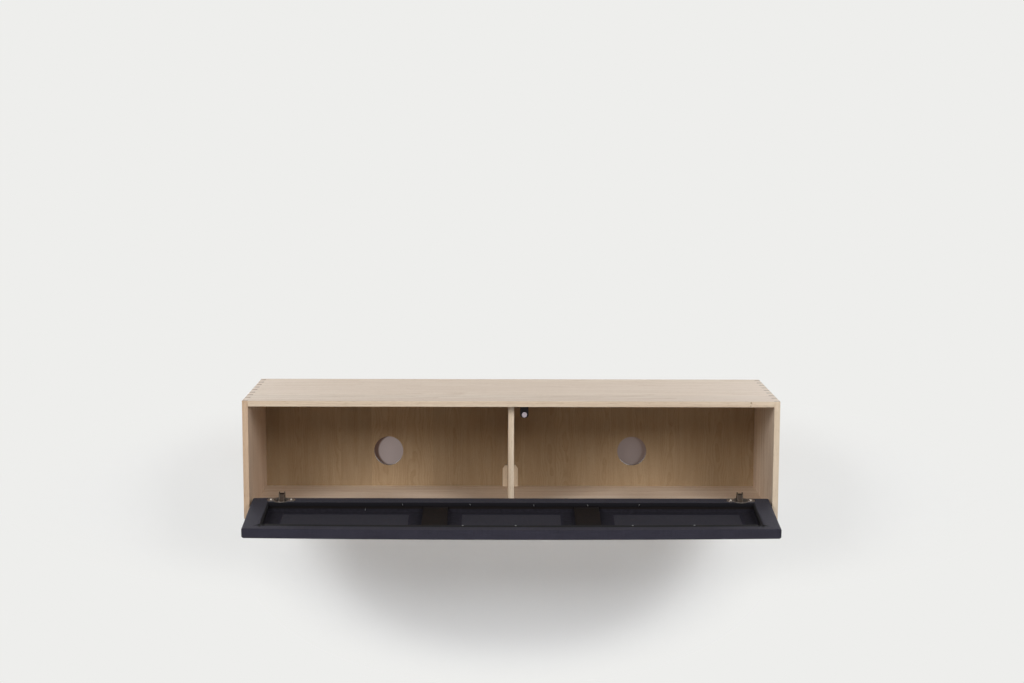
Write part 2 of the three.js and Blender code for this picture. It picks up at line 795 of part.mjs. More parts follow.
for (const [word, side] of sides) {
  const x = side * hingeX;
  const at = new THREE.Vector3(x, 0, cupZ);
  let cup = hingeCup(x);
  const bed = cupRadius + glueLine;
  const floor = cupFloorY - glueLine;
  hingeRail = hingeRail.subtract(cylinder(bed, cupSides, at, inward, floor, innerFaceY + overrun));
  fabricCover = fabricCover.subtract(cylinder(bed, cupSides, at, inward, floor, innerFaceY + overrun));
  for (const [end, turn] of sides) {
    const screwX = x + (turn * cupScrewSpacing) / 2;
    const seat = new THREE.Vector3(screwX, cupSeatY + flangeThickness + glueLine, cupZ);
    const hole = shankHole(seat, inward, cupScrewLength + glueLine);
    cup = cup.subtract(hole);
    hingeRail = hingeRail.subtract(hole);
    fabricCover = fabricCover.subtract(hole);
    flapHardware.push(piece(`${word}_cup_screw_${end}`, nickel, panScrew(seat, inward, cupScrewLength)));
  }
  const chord = Math.sqrt(cupRadius ** 2 - (cupInset - pivotRise) ** 2) - cupWall / 2;
  const pinAt = new THREE.Vector3(x, 0, 0);
  flapHardware.push(piece(`${word}_hinge_cup`, nickel, cup));
  const pin = cylinder(pinRadius, smallSides, pinAt, alongX, -chord, chord);
  flapHardware.push(piece(`${word}_hinge_pin`, zincSteel, pin));
}

// Strike plate, let into the free rail under the cloth, opposite the plunger.
const strikeTopY = innerFaceY - clothThickness - glueLine;
const strikeAt = new THREE.Vector3(latchX, 0, latchAxisZ - pinZ);
const strike = cylinder(strikeRadius, cupSides, strikeAt, inward, strikeTopY - strikeThickness, strikeTopY);
freeRail = freeRail.subtract(
  cylinder(
    strikeRadius + glueLine,
    cupSides,
    strikeAt,
    inward,
    strikeTopY - strikeThickness - glueLine,
    innerFaceY,
  ),
);

// Assembly
const flap = new THREE.Group();
flap.position.set(0, pinY, pinZ);
flap.rotation.x = openAngle;
flap.add(
  piece("hinge_rail", pine, hingeRail),
  piece("free_rail", pine, freeRail),
  ...stiles,
  ...crossBars,
  piece("fabric_cover", cloth, fabricCover),
  piece("strike_plate", zincSteel, strike),
  ...flapHardware,
);

const plunger = new THREE.Group();
plunger.add(
  piece("plunger_tip", palePlastic, plungerTip()),
  piece(
    "plunger_rod",
    blackPlastic,
    cylinder(plungerRadius, cupSides, latchMouth, alongY, tipBack, rodBack),
  ),
);

const group = new THREE.Group();
group.add(
  piece("top_panel", oak, topPanel),
  piece("bottom_panel", oak, bottomPanel),
  piece("left_side_panel", oak, sideBoard(-1).subtract(backBoard)),
  piece("right_side_panel", oak, sideBoard(1).subtract(backBoard)),
  piece("centre_divider", oak, divider),
  piece("back_panel", oak, backPanel),
  ...divisionBlocks,
  piece("case_cleat", pine, caseCleat),
  piece("wall_cleat", pine, wallCleat),
  piece("wall_spacer", pine, wallSpacer),
  ...rearScrews,
  ...hingePieces,
  piece("latch_housing", blackPlastic, latchHousing),
  ...latchScrews,
  piece("latch_spring", zincSteel, springCoil()),
  plunger,
  flap,
);

export default group;
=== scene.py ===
"""A wall-hung oak media console with its cloth flap open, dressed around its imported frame."""

import json
import math

import bmesh
import bpy
import numpy as np
from mathutils import Matrix, Vector

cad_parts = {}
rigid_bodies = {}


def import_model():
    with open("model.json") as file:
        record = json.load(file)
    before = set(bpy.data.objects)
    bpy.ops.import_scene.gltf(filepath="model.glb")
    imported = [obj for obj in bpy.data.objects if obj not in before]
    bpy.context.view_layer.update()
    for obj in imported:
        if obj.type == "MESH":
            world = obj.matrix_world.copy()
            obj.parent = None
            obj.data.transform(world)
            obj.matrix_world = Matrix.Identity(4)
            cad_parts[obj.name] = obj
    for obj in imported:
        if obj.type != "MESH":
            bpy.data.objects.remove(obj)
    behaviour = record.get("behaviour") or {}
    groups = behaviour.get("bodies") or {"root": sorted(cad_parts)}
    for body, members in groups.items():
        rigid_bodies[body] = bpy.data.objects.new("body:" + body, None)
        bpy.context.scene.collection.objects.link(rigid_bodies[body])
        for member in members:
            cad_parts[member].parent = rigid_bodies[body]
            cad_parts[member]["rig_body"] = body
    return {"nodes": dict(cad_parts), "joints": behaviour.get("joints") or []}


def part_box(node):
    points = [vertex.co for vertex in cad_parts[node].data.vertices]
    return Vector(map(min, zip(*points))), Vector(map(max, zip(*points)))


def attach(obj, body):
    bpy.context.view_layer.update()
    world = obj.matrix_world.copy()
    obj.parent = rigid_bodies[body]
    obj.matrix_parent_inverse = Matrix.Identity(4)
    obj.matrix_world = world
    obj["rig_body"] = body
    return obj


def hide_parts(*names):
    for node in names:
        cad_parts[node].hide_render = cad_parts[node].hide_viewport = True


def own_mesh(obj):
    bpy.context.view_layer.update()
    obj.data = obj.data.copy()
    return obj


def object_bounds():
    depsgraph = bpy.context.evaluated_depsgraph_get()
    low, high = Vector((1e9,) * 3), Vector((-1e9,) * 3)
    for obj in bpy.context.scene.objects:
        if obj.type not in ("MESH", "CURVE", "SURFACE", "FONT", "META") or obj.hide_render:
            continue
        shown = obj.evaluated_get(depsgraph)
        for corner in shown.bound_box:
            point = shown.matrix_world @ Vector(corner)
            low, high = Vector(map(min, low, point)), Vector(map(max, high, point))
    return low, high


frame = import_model()
cad_box = [list(corner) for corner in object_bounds()]
MM = 0.001

# Case boards

# Top, bottom and sides are solid oak, edge-glued from staves, planed and dovetailed through at the
# corners, so each side's pins show as end grain on the top. The divider is housed into both, and
# the back panel, with its two cable holes, into all four. Outer and front edges are eased by hand.

WELD = 0.002 * MM
FLAT_ANGLE = math.radians(0.3)
SAME_PLANE = 0.05 * MM
SQUARE_ON = 0.999  # least share of a normal along its axis
ARRIS = 0.7 * MM
ARRIS_STEPS = 3
PITH_DEPTH = (25 * MM, 75 * MM)  # nearest and farthest under a stave
TRUNK_WANDER = 30 * MM
# bands, fibres and pores, each (features a metre along, across, detail)
GRAIN = ((2.2, 85.0, 4.0), (22.0, 900.0, 2.0), (75.0, 1500.0, 1.0))


def welded(node, name):
    """A copy of a CAD node's mesh: its loose triangles are joined at their corners, and triangles
    that lie in one plane become one face."""
    mesh = frame["nodes"][node].data.copy()
    mesh.name = name
    mesh.materials.clear()
    work = bmesh.new()
    work.from_mesh(mesh)
    bmesh.ops.remove_doubles(work, verts=work.verts, dist=WELD)
    bmesh.ops.dissolve_limit(work, angle_limit=FLAT_ANGLE, verts=work.verts, edges=work.edges)
    work.to_mesh(mesh)
    work.free()
    return mesh


def placed(name, data):
    """A new object in the scene."""
    thing = bpy.data.objects.new(name, data)
    bpy.context.scene.collection.objects.link(thing)
    return thing


def standing_for(node, name, mesh, material):
    """Puts a mesh in the scene on the node's body, in place of the node."""
    mesh.materials.append(material)
    piece = placed(name, mesh)
    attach(piece, frame["nodes"][node]["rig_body"])
    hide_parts(node)
    return piece


def flat_faces(mesh, planes):
    """For each face the number of the plane (axis, place) that it lies in, or -1."""
    count = len(mesh.polygons)
    normals = np.empty(count * 3, np.float32)
    centres = np.empty(count * 3, np.float32)
    mesh.polygons.foreach_get("normal", normals)
    mesh.polygons.foreach_get("center", centres)
    normals, centres = normals.reshape(-1, 3), centres.reshape(-1, 3)
    found = np.full(count, -1)
    for number, (axis, place) in enumerate(planes):
        facing = np.abs(normals[:, axis]) > SQUARE_ON
        found[facing & (np.abs(centres[:, axis] - place) < SAME_PLANE)] = number
    return found


def rounded(piece, width, steps, angle=None):
    """Rounds a piece's edges: those sharper than an angle in degrees or, without one, those that
    carry a bevel weight."""
    bevel = piece.modifiers.new("rounded edges", "BEVEL")
    bevel.limit_method = "ANGLE" if angle else "WEIGHT"
    if angle:
        bevel.angle_limit = math.radians(angle)
    bevel.width = width
    bevel.segments = steps
    return bevel


def eased_board(node, name, material, outer, front=(), inner=()):
    """A board whose long edges are rounded: every edge where two of its outer planes meet, or where
    a front plane meets an inner one. Joint faces lie in none of these planes and stay sharp."""
    mesh = welded(node, name)
    planes = [*outer, *front, *inner]
    found = flat_faces(mesh, planes)
    edge_of = np.empty(len(mesh.loops), np.int32)
    mesh.loops.foreach_get("edge_index", edge_of)
    totals = np.empty(len(mesh.polygons), np.int32)
    mesh.polygons.foreach_get("loop_total", totals)
    face_of = np.repeat(np.arange(len(totals)), totals)
    pairs = found[face_of[np.argsort(edge_of, kind="stable")].reshape(-1, 2)]
    last_outer = len(outer) + len(front)
    known = (pairs >= 0).all(1) & (pairs[:, 0] != pairs[:, 1])
    is_inner = pairs >= last_outer
    is_front = (pairs >= len(outer)) & ~is_inner
    eased = known & (~is_inner.any(1) | (is_inner.any(1) & is_front.any(1)))
    weight = mesh.attributes.new("bevel_weight_edge", "FLOAT", "EDGE")
    weight.data.foreach_set("value", eased.astype(np.float32))
    piece = standing_for(node, name, mesh, material)
    rounded(piece, ARRIS, ARRIS_STEPS).use_clamp_overlap = False
    return piece


def linear(code):
    """An sRGB hex colour as a linear one, with an alpha of 1."""
    shares = [int(code[i : i + 2], 16) / 255 for i in (1, 3, 5)]
    return (*[s / 12.92 if s <= 0.04045 else ((s + 0.055) / 1.055) ** 2.4 for s in shares], 1)


def feed(node, inputs):
    """Fills a node's inputs. Each is a value, a socket that feeds it, or a node whose first output
    in use does."""
    for key, value in inputs.items():
        if isinstance(value, bpy.types.Node):
            value = next(socket for socket in value.outputs if socket.enabled)
        if isinstance(value, bpy.types.NodeSocket):
            node.id_data.links.new(value, node.inputs[key])
        else:
            node.inputs[key].default_value = value


def add(tree, kind, inputs=None, **settings):
    """Adds a node with its inputs. Settings are its properties."""
    node = tree.nodes.new("ShaderNode" + kind)
    for key, value in settings.items():
        setattr(node, key, value)
    feed(node, inputs or {})
    return node


def finish_of(name):
    """A material with its bare shader: (material, tree, shader)."""
    material = bpy.data.materials.new(name)
    material.use_nodes = True
    return material, material.node_tree, material.node_tree.nodes["Principled BSDF"]


def timber(
    name, axes, stave, seed, pale, deep, pore, end=0.62, ring=3.2, streak=0.5, rough=0.55,
    shine=0.28, broad=(1.0, 1.0, 1.0), sawn=(1.0, 1.0, 1.0), short=1.0, knots=()
):
    """Planed timber, glued up from staves. axes orders X, Y and Z as along the grain, across the
    staves and through the board. Growth rings are circles round a pith a few centimetres under each
    stave, so they run as arches on the faces and as arcs on the ends. Pores and fibres are noise
    stretched along the grain. Pores are 0.5 mm wide, twice their real width, so that they show.
    stave and ring are in millimetres; pale is the latewood, deep the earlywood. `broad` and `sawn`
    multiply the colour of the broad faces and of the edges: painted light and shade, which make a
    face lighter or darker for how the light falls on it. `short` is how many times shorter than
    straight-grained oak's the streaks are. A knot is a small dark ball at (x, y, z, radius) in
    millimetres, which shows where the surface cuts it."""
    material, tree, shader = finish_of(name)
    spot = add(tree, "TexCoord").outputs
    split = add(tree, "SeparateXYZ", {0: spot["Object"]}).outputs
    along, across, through = (split[i] for i in axes)
    count = add(tree, "Math", {0: across, 1: stave * MM}, operation="DIVIDE")
    moved = add(tree, "Math", {0: count, 1: seed * 0.37}, operation="ADD")
    number = add(tree, "Math", {0: moved}, operation="FLOOR")
    within = add(tree, "Math", {0: moved}, operation="FRACT")
    key = add(tree, "Math", {0: number, 1: seed}, operation="ADD")
    luck = add(tree, "TexWhiteNoise", {"W": key}, noise_dimensions="1D")
    chance = add(tree, "SeparateColor", {0: luck.outputs["Color"]}).outputs
    # the pith's place under each stave
    aside = add(tree, "Math", {0: chance[0], 1: within}, operation="SUBTRACT")
    aside = add(tree, "Math", {0: aside, 1: 1.1 * stave * MM}, operation="MULTIPLY")
    below = add(tree, "MapRange", {0: chance[1], 3: PITH_DEPTH[0], 4: PITH_DEPTH[1]})
    below = add(tree, "Math", {0: below, 1: through}, operation="ADD")
    along = add(tree, "Math", {0: along, 1: short}, operation="MULTIPLY")
    start = add(tree, "Math", {0: chance[2], 1: 4.0, 2: along}, operation="MULTIPLY_ADD")
    log = add(tree, "CombineXYZ", {0: start, 1: aside, 2: below})
    # a slow wander of the trunk along its length, in metres
    stretch = add(tree, "VectorMath", {0: log, 1: (1.5, 9.0, 9.0)}, operation="MULTIPLY")
    wander = add(tree, "TexNoise", {"Vector": stretch, "Scale": 1.0, "Detail": 3.0})
    bent = add(
        tree,
        "VectorMath",
        {0: wander.outputs["Color"], 1: (0.0, TRUNK_WANDER, TRUNK_WANDER), 2: log},
        operation="MULTIPLY_ADD",
    )
    rings = add(
        tree,
        "TexWave",
        {"Vector": bent, "Scale": math.pi / (10 * ring * MM), "Distortion": 0.0},
        wave_type="RINGS",
        rings_direction="X",
        wave_profile="SAW",
    )
    early = add(tree, "MapRange", {0: rings.outputs["Fac"], 1: 0.45, 2: 0.95})
    parts = []
    for lengthwise, crosswise, detail in GRAIN:
        scaled = add(
            tree,
            "VectorMath",
            {0: log, 1: (lengthwise, crosswise, crosswise)},
            operation="MULTIPLY",
        )
        parts.append(add(tree, "TexNoise", {"Vector": scaled, "Scale": 1.0, "Detail": detail}))
    bands, fibres, pores = parts
    tone = add(tree, "MapRange", {0: bands, 1: 0.3, 2: 0.7, 3: 0.0, 4: streak})
    tone = add(tree, "Math", {0: early, 1: 0.3, 2: tone}, operation="MULTIPLY_ADD")
    fibre = add(tree, "MapRange", {0: fibres, 1: 0.3, 2: 0.7, 3: -0.12, 4: 0.12})
    tone = add(tree, "Math", {0: tone, 1: fibre}, operation="ADD", use_clamp=True)
    wood = add(
        tree, "Mix", {"Factor": tone, "A": linear(pale), "B": linear(deep)}, data_type="RGBA"
    )
    # pores crowd in the earlywood
    open_pore = add(tree, "MapRange", {0: pores, 1: 0.60, 2: 0.68})
    crowd = add(tree, "MapRange", {0: early, 3: 0.15, 4: 0.6})
    pitted = add(tree, "Math", {0: open_pore, 1: crowd}, operation="MULTIPLY")
    wood = add(tree, "Mix", {"Factor": pitted, "A": wood, "B": linear(pore)}, data_type="RGBA")
    for *middle, radius in knots:
        gap = add(
            tree,
            "VectorMath",
            {0: spot["Object"], 1: [v * MM for v in middle]},
            operation="DISTANCE",
        )
        dark = add(tree, "MapRange", {0: gap, 1: radius * MM, 2: 0.5 * radius * MM, 4: 0.8})
        wood = add(tree, "Mix", {"Factor": dark, "A": wood, "B": linear(pore)}, data_type="RGBA")
    # each stave has its own tone, and its end grain soaks up more of the finish
    own = add(tree, "MapRange", {0: chance[1], 3: 0.93, 4: 1.05})
    facing = add(tree, "SeparateXYZ", {0: spot["Normal"]}).outputs
    endwise = add(tree, "Math", {0: facing[axes[0]]}, operation="ABSOLUTE")
    endwise = add(tree, "MapRange", {0: endwise, 1: 0.75, 2: 0.95, 3: 1.0, 4: end})
    shade = add(tree, "Math", {0: own, 1: endwise}, operation="MULTIPLY")
    flatwise = add(tree, "Math", {0: facing[axes[2]]}, operation="ABSOLUTE")
    flatwise = add(tree, "MapRange", {0: flatwise, 1: 0.8, 2: 0.98})
    painted_face_light = add(
        tree, "Mix", {"Factor": flatwise, "A": (*sawn, 1.0), "B": (*broad, 1.0)}, data_type="RGBA"
    )
    shade = add(tree, "VectorMath", {0: painted_face_light, "Scale": shade}, operation="SCALE")
    wood = add(
        tree, "Mix", {"Factor": 1.0, "A": wood, "B": shade}, data_type="RGBA", blend_type="MULTIPLY"
    )
    gloss = add(tree, "MapRange", {0: pitted, 3: rough, 4: min(rough + 0.25, 1.0)})
    height = add(tree, "Math", {0: fibre, 1: pitted}, operation="SUBTRACT")
    bump = add(tree, "Bump", {"Height": height, "Strength": 0.35, "Distance": 0.12 * MM})
    feed(shader, {"Base Color": wood, "Roughness": gloss, "Normal": bump})
    feed(shader, {"Specular IOR Level": shine})
    return material


OAK = {"pale": "#dccbb4", "deep": "#bfa387", "pore": "#8d7155"}
PINK_OAK = {"pale": "#c9ae93", "deep": "#ad8d72", "pore": "#80634c"}
# SHADED_OAK is oak drawn darker for the back panel: painted shade, for the shade inside the case.
SHADED_OAK = {"pale": "#b39a7a", "deep": "#9d805d", "pore": "#85694b"}
LYING = (0, 1, 2)
UPRIGHT_DEEP = (2, 1, 0)
UPRIGHT_WIDE = (2, 0, 1)
PIN_KNOTS = ((535, -400, 94, 2.6), (534, -400, 87, 1.8))
# Painted light and shade on the boards' broad faces: the top is drawn darker and bluer, the bottom
# and the sides lighter, for how the softboxes light them.
TOP_PAINTED_SHADE, BOTTOM_PAINTED_LIGHT = (0.84, 0.86, 0.93), (1.18, 1.2, 1.28)
LEFT_PAINTED_LIGHT, RIGHT_PAINTED_LIGHT = (1.3, 1.4, 1.55), (1.16, 1.17, 1.24)
top_oak = timber("whitened oak, top", LYING, 96, 3, broad=TOP_PAINTED_SHADE, knots=PIN_KNOTS, **OAK)
bottom_oak = timber("whitened oak, bottom", LYING, 96, 11, broad=BOTTOM_PAINTED_LIGHT, **OAK)
SIDE = {"axes": UPRIGHT_DEEP, "stave": 88, "end": 0.45}
left_oak = timber("whitened oak, left side", seed=6, broad=LEFT_PAINTED_LIGHT, **SIDE, **PINK_OAK)
right_oak = timber("whitened oak, right side", seed=8, broad=RIGHT_PAINTED_LIGHT, **SIDE, **OAK)
divider_oak = timber("whitened oak, divider", UPRIGHT_DEEP, 88, 17, **OAK)
# Painted shade: the back panel's edges, and so the bores of its cable holes, are drawn far darker
# than its faces, as the shade in the holes.
HOLE_BORE_SHADE = (0.2, 0.15, 0.13)
back_oak = timber(
    "oak, back, painted shade", UPRIGHT_WIDE, 74, 23, short=4.0, streak=0.45, sawn=HOLE_BORE_SHADE, **SHADED_OAK
)
block_oak = timber(
    "pale oak, blocks", UPRIGHT_WIDE, 60, 29, pale="#f2e2ca", deep="#dac0a0", pore="#a5876a"
)

left_low, left_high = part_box("left_side_panel")
top_low, top_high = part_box("top_panel")
bottom_low, bottom_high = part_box("bottom_panel")
OUTSIDE = [(0, left_low.x), (0, -left_low.x), (2, top_high.z), (2, bottom_low.z)]
FRONT = [(1, top_low.y)]
INSIDE = [(0, left_high.x), (0, -left_high.x), (2, top_low.z), (2, bottom_high.z)]
BOARDS = {"top": top_oak, "bottom": bottom_oak, "left_side": left_oak, "right_side": right_oak}
for word, oak in BOARDS.items():
    eased_board(f"{word}_panel", f"{word}_board", oak, OUTSIDE, FRONT, INSIDE)
low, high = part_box("centre_divider")
cheeks = [(0, low.x), (0, high.x)]
eased_board("centre_divider", "divider_board", divider_oak, [], [(1, low.y)], cheeks)
eased_board("back_panel", "back_board", back_oak, [])

# Blocks at the divider's foot

# Two short oak blocks with a chamfered head stand in the corners between the divider and the back
# panel. They are glued there and keep the divider upright.

for side in ("left", "right"):
    node = f"{side}_divider_block"
    faces = [(axis, corner[axis]) for axis in range(3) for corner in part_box(node)]
    eased_board(node, f"{side}_foot_block", block_oak, faces)

# Wall hanging

# A two-part cleat of sawn pine: the upper strip is screwed to the back panel and hooks with its
# 45-degree bevel over the lower strip, which is screwed to the wall. A pine strip at the bottom
# keeps the case plumb.

pine = timber(
    "sawn pine", LYING, 150, 5, pale="#dcbf90", deep="#b98a54", pore="#9a6f42", ring=4.5, rough=0.8
)
for node in ("case_cleat", "wall_cleat", "wall_spacer"):
    faces = [(axis, corner[axis]) for axis in range(3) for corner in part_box(node)]
    strip = eased_board(node, f"{node}_strip", pine, faces)

# Screws

# Wood screws of zinc-plated steel with a cross recess: countersunk in the cleats and the spacer,
# pan-headed at the latch. Turned and rolled, so their edges are a little soft.


def soft_edged(node, name, material, slot, width, smooth=38, edge_highlight=None):
    """A welded copy of a metal or plastic node with its sharp edges rounded off. The roundings
    take a second, brighter finish, where one is given: painted highlights along the edges."""
    mesh = welded(node, name)
    mesh.polygons.foreach_set("use_smooth", np.ones(len(mesh.polygons), bool))
    mesh.set_sharp_from_angle(angle=math.radians(smooth))
    piece = standing_for(node, name, mesh, material)
    bevel = rounded(piece, width, 2, smooth)
    if edge_highlight:
        mesh.materials.append(edge_highlight)
        bevel.material = 1
    return piece


def plated_steel(name, colour, roughness, grain):
    """Plated steel: a metal of one colour, whose roughness and height vary with the plating's
    crystals, `grain` millimetres across, and with broad wipe marks ten times as wide."""
    material, tree, shader = finish_of(name)
    spot = add(tree, "TexCoord").outputs
    fine = add(tree, "TexNoise", {"Vector": spot["Object"], "Scale": 1 / (grain * MM)})
    broad = add(tree, "TexNoise", {"Vector": spot["Object"], "Scale": 0.1 / (grain * MM)})
    both = add(tree, "Math", {0: fine, 1: broad}, operation="ADD")
    gloss = add(
        tree, "MapRange", {0: both, 1: 0.7, 2: 1.3, 3: roughness - 0.08, 4: roughness + 0.12}
    )
    bump = add(tree, "Bump", {"Height": fine, "Strength": 0.1, "Distance": 0.05 * MM})
    tint = add(tree, "Mix", {"Factor": broad}, data_type="RGBA")
    feed(tint, {"A": linear(colour[0]), "B": linear(colour[1])})
    feed(shader, {"Base Color": tint, "Metallic": 1.0, "Roughness": gloss, "Normal": bump})
    return material


zinc = plated_steel("bright zinc plate", ("#b9bab8", "#a3a6a8"), 0.36, 0.5)
SCREW_EDGE = 0.12 * MM
SCREWS = ("cleat_screw", "spacer_screw", "latch_screw")
for node in sorted(name for name in frame["nodes"] if name.startswith(SCREWS)):
    soft_edged(node, f"{node}_turned", zinc, "zinc_steel", SCREW_EDGE)

# Hinge plates and arms

# Each concealed hinge has a plate screwed to the case floor and a pressed steel arm, a channel
# that rises over the flap's hinge edge and bends down to the plate. All of it is nickel plated.

nickel = plated_steel("bright nickel plate", ("#cfcbc4", "#b5aea5"), 0.26, 0.4)
# Painted reflection: the plates and arms are drawn dark, for the dark room their nickel mirrors.
# Their rounded edges take the bright nickel as painted highlights.
dark_reflection_nickel = plated_steel("nickel plate, painted dark reflection", ("#6a605c", "#4f4643"), 0.34, 0.4)
dark_reflection_arm_nickel = plated_steel("nickel plate, painted dark reflection, arms", ("#564b45", "#40372f"), 0.36, 0.4)
HINGE = {"slot": "hinge_nickel", "edge_highlight": nickel}
for side in ("left", "right"):
    soft_edged(f"{side}_hinge_plate", f"{side}_base_plate", dark_reflection_nickel, width=0.5 * MM, **HINGE)
    soft_edged(f"{side}_hinge_arm", f"{side}_goose_arm", dark_reflection_arm_nickel, width=0.6 * MM, **HINGE)
    for screw in ("arm_screw", "plate_screw_left", "plate_screw_right"):
        node = f"{side}_{screw}"
        soft_edged(node, f"{node}_turned", nickel, "hinge_nickel", SCREW_EDGE)

# Push latch

# A moulded black housing under the top, right of the divider. Its black rod slides in a blind bore
# on a coil spring and carries a pale tip with a small dimple, which meets the shut flap.


def moulded(name, colour, worn, roughness, grain):
    """Moulded plastic: a fine leathery grain, `grain` millimetres across, from the tool's face,
    and faint lighter scuffs."""
    material, tree, shader = finish_of(name)
    spot = add(tree, "TexCoord").outputs
    cells = add(tree, "TexVoronoi", {"Vector": spot["Object"], "Scale": 1 / (grain * MM)})
    scuffs = add(tree, "TexNoise", {"Vector": spot["Object"], "Scale": 220.0, "Detail": 4.0})
    mask = add(tree, "MapRange", {0: scuffs, 1: 0.5, 2: 0.75, 3: 0.0, 4: 0.5})
    tint = add(
        tree, "Mix", {"Factor": mask, "A": linear(colour), "B": linear(worn)}, data_type="RGBA"
    )
    gloss = add(tree, "MapRange", {0: mask, 3: roughness, 4: roughness + 0.2})
    bump = add(tree, "Bump", {"Height": cells, "Strength": 0.2, "Distance": 0.04 * MM})
    feed(shader, {"Base Color": tint, "Roughness": gloss, "Normal": bump})
    feed(shader, {"Specular IOR Level": 0.3})
    return material


black_nylon = moulded("black nylon", "#100706", "#19100e", 0.6, 0.5)
pale_acetal = moulded("pale acetal", "#aaa0a6", "#968d93", 0.35, 0.6)
spring_steel = plated_steel("spring steel", ("#a7a8a6", "#8f9192"), 0.3, 0.3)
soft_edged("latch_housing", "latch_shell", black_nylon, "latch_black", 0.6 * MM)
soft_edged("plunger_rod", "latch_rod", black_nylon, "latch_black", 0.3 * MM)
soft_edged("plunger_tip", "latch_tip", pale_acetal, "latch_pale", 0.25 * MM, smooth=25)
wound = welded("latch_spring", "latch_coil")
wound.polygons.foreach_set("use_smooth", np.ones(len(wound.polygons), bool))
coil = standing_for("latch_spring", "latch_coil", wound, spring_steel)
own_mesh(coil)

# Flap frame

# Two rails, two stiles and two flat cross bars of softwood, glued and stained black-brown, so
# that nothing pale shows through the cloth or in the open pockets. Open, the free rail hangs a few
# millimetres low in its middle, because only its ends are carried.

hinge = next(j for j in frame["joints"] if j["name"] == "flap_hinge")
PIN = np.array(hinge["pos_m"])
OPEN = math.radians(hinge["range_deg"][1])
FLAP = np.array([583.0, 234.0, 22.0]) * MM  # half width, height, thickness
PIN_BEHIND = 8 * MM  # inner face to the pin
PIN_UP = 16.5 * MM  # hinge edge to the pin
SAG = 3.6 * MM
RIM = 39 * MM
UP = np.array([0, -math.sin(OPEN), math.cos(OPEN)])
DEEP = np.array([0, -math.cos(OPEN), -math.sin(OPEN)])


def sag(x, up):
    """How far the flap hangs at a place on it: a parabola across its width, which grows with the
    square root of the cube of the distance from its hinge edge."""
    share = np.clip(up / FLAP[1], 0, 1)
    return SAG * np.clip(1 - (x / FLAP[0]) ** 2, 0, 1) * share**1.5


def hang(mesh):
    """Cuts a member's mesh across its length every 5 cm and moves it down by the flap's sag."""
    work = bmesh.new()
    work.from_mesh(mesh)
    for cut_x in np.linspace(-0.55, 0.55, 23):
        everything = [*work.verts, *work.edges, *work.faces]
        bmesh.ops.bisect_plane(
            work, geom=everything, dist=WELD, plane_co=(cut_x, 0, 0), plane_no=(1, 0, 0)
        )
    work.to_mesh(mesh)
    work.free()
    places = np.empty(len(mesh.vertices) * 3)
    mesh.vertices.foreach_get("co", places)
    places = places.reshape(-1, 3)
    drop = sag(places[:, 0], (places - PIN) @ UP + PIN_UP)
    mesh.vertices.foreach_set("co", (places + drop[:, None] * DEEP).ravel())


STAIN = {"pale": "#1a1413", "deep": "#110e0d", "pore": "#0a0808"}
stained = timber("black-stained softwood", LYING, 120, 9, ring=4.0, rough=0.75, shine=0.15, **STAIN)
BORDER = ["hinge_rail", "free_rail", "left_stile", "right_stile"]
for node in (*BORDER, "left_cross_bar", "right_cross_bar"):
    mesh = welded(node, f"{node}_wood")
    hang(mesh)
    member = standing_for(node, f"{node}_wood", mesh, stained)
    rounded(member, 2 * MM, steps=3, angle=50)

# Flap cloth

# One piece of charcoal speaker cloth, a plain weave. Its back, which shows in the pockets, is drawn
# a little darker: painted shade. It is stretched over the flap's outer face, drawn round the edges
# on to the inner rim, mitred at the corners and stapled into the pocket.

EDGE_ROUND = 4 * MM
CORNER_ROUND = 6 * MM
TURN_IN = 8 * MM
CLOTH = 0.9 * MM
LIP = 3.2 * MM  # round edge of the pocket
CUT_WAVE = 0.4 * MM
FOLD_RISE, FOLD_HALF = 0.6 * MM, 2.2 * MM
PLEAT_FROM_CORNER, PLEAT_START, PLEAT_RUN = 3 * MM, 24 * MM, 20 * MM
PLEAT_RISE, PLEAT_HALF = 2.2 * MM, 1.8 * MM
GROOVE_DROP, GROOVE_AT, GROOVE_HALF = 2.4 * MM, 4 * MM, 1.5 * MM
STRIKE_RISE, STRIKE_RADIUS, STRIKE_SLOPE = 0.35 * MM, 8 * MM, 1 * MM
STRIKE_DOWN = 27 * MM  # free edge to the strike plate's centre
CUP_UP = 20 * MM  # hinge edge to the cup's centre
CUP_HOLE = 17.8 * MM


def on_flap(x, up, deep):
    """Places on the open flap: x along its width, up from its hinge edge and deep from its inner
    face, turned about the hinge pin by the flap's open angle."""
    place = (up - PIN_UP)[..., None] * UP + (deep - PIN_BEHIND)[..., None] * DEEP + PIN
    place[..., 0] = x
    return place


def arc(radius, steps):
    """A quarter circle as (run, rise) pairs, from (0, 0) to (radius, radius)."""
    angle = np.linspace(0, math.pi / 2, steps)
    return np.stack([radius * (1 - np.cos(angle)), radius * np.sin(angle)], axis=1)


def cloth_profile():
    """The cloth's section as (inset from the flap's outline, depth from its inner face) pairs, from
    the cut edge in the pocket over the rim, round the flap's edge and in under the outer face."""
    small, large = arc(LIP, 5), arc(EDGE_ROUND, 7)
    wall = np.linspace(TURN_IN, LIP, 5)[:-1]
    rim = np.linspace(RIM - LIP, EDGE_ROUND, 14)[1:-1]
    edge = np.linspace(EDGE_ROUND, FLAP[2] - EDGE_ROUND, 6)[1:-1]
    face = np.linspace(EDGE_ROUND, FLAP[1] / 2, 27)[1:]
    rows = [
        np.stack([np.full_like(wall, RIM), wall], 1),
        np.stack([RIM - small[:, 0], LIP - small[:, 1]], 1),
        np.stack([rim, np.zeros_like(rim)], 1),
        np.stack([EDGE_ROUND - large[:, 1], large[:, 0]], 1),
        np.stack([np.zeros_like(edge), edge], 1),
        np.stack([large[:, 0], FLAP[2] - EDGE_ROUND + large[:, 1]], 1),
        np.stack([face, np.full_like(face, FLAP[2])], 1),
    ]
    return np.concatenate(rows)


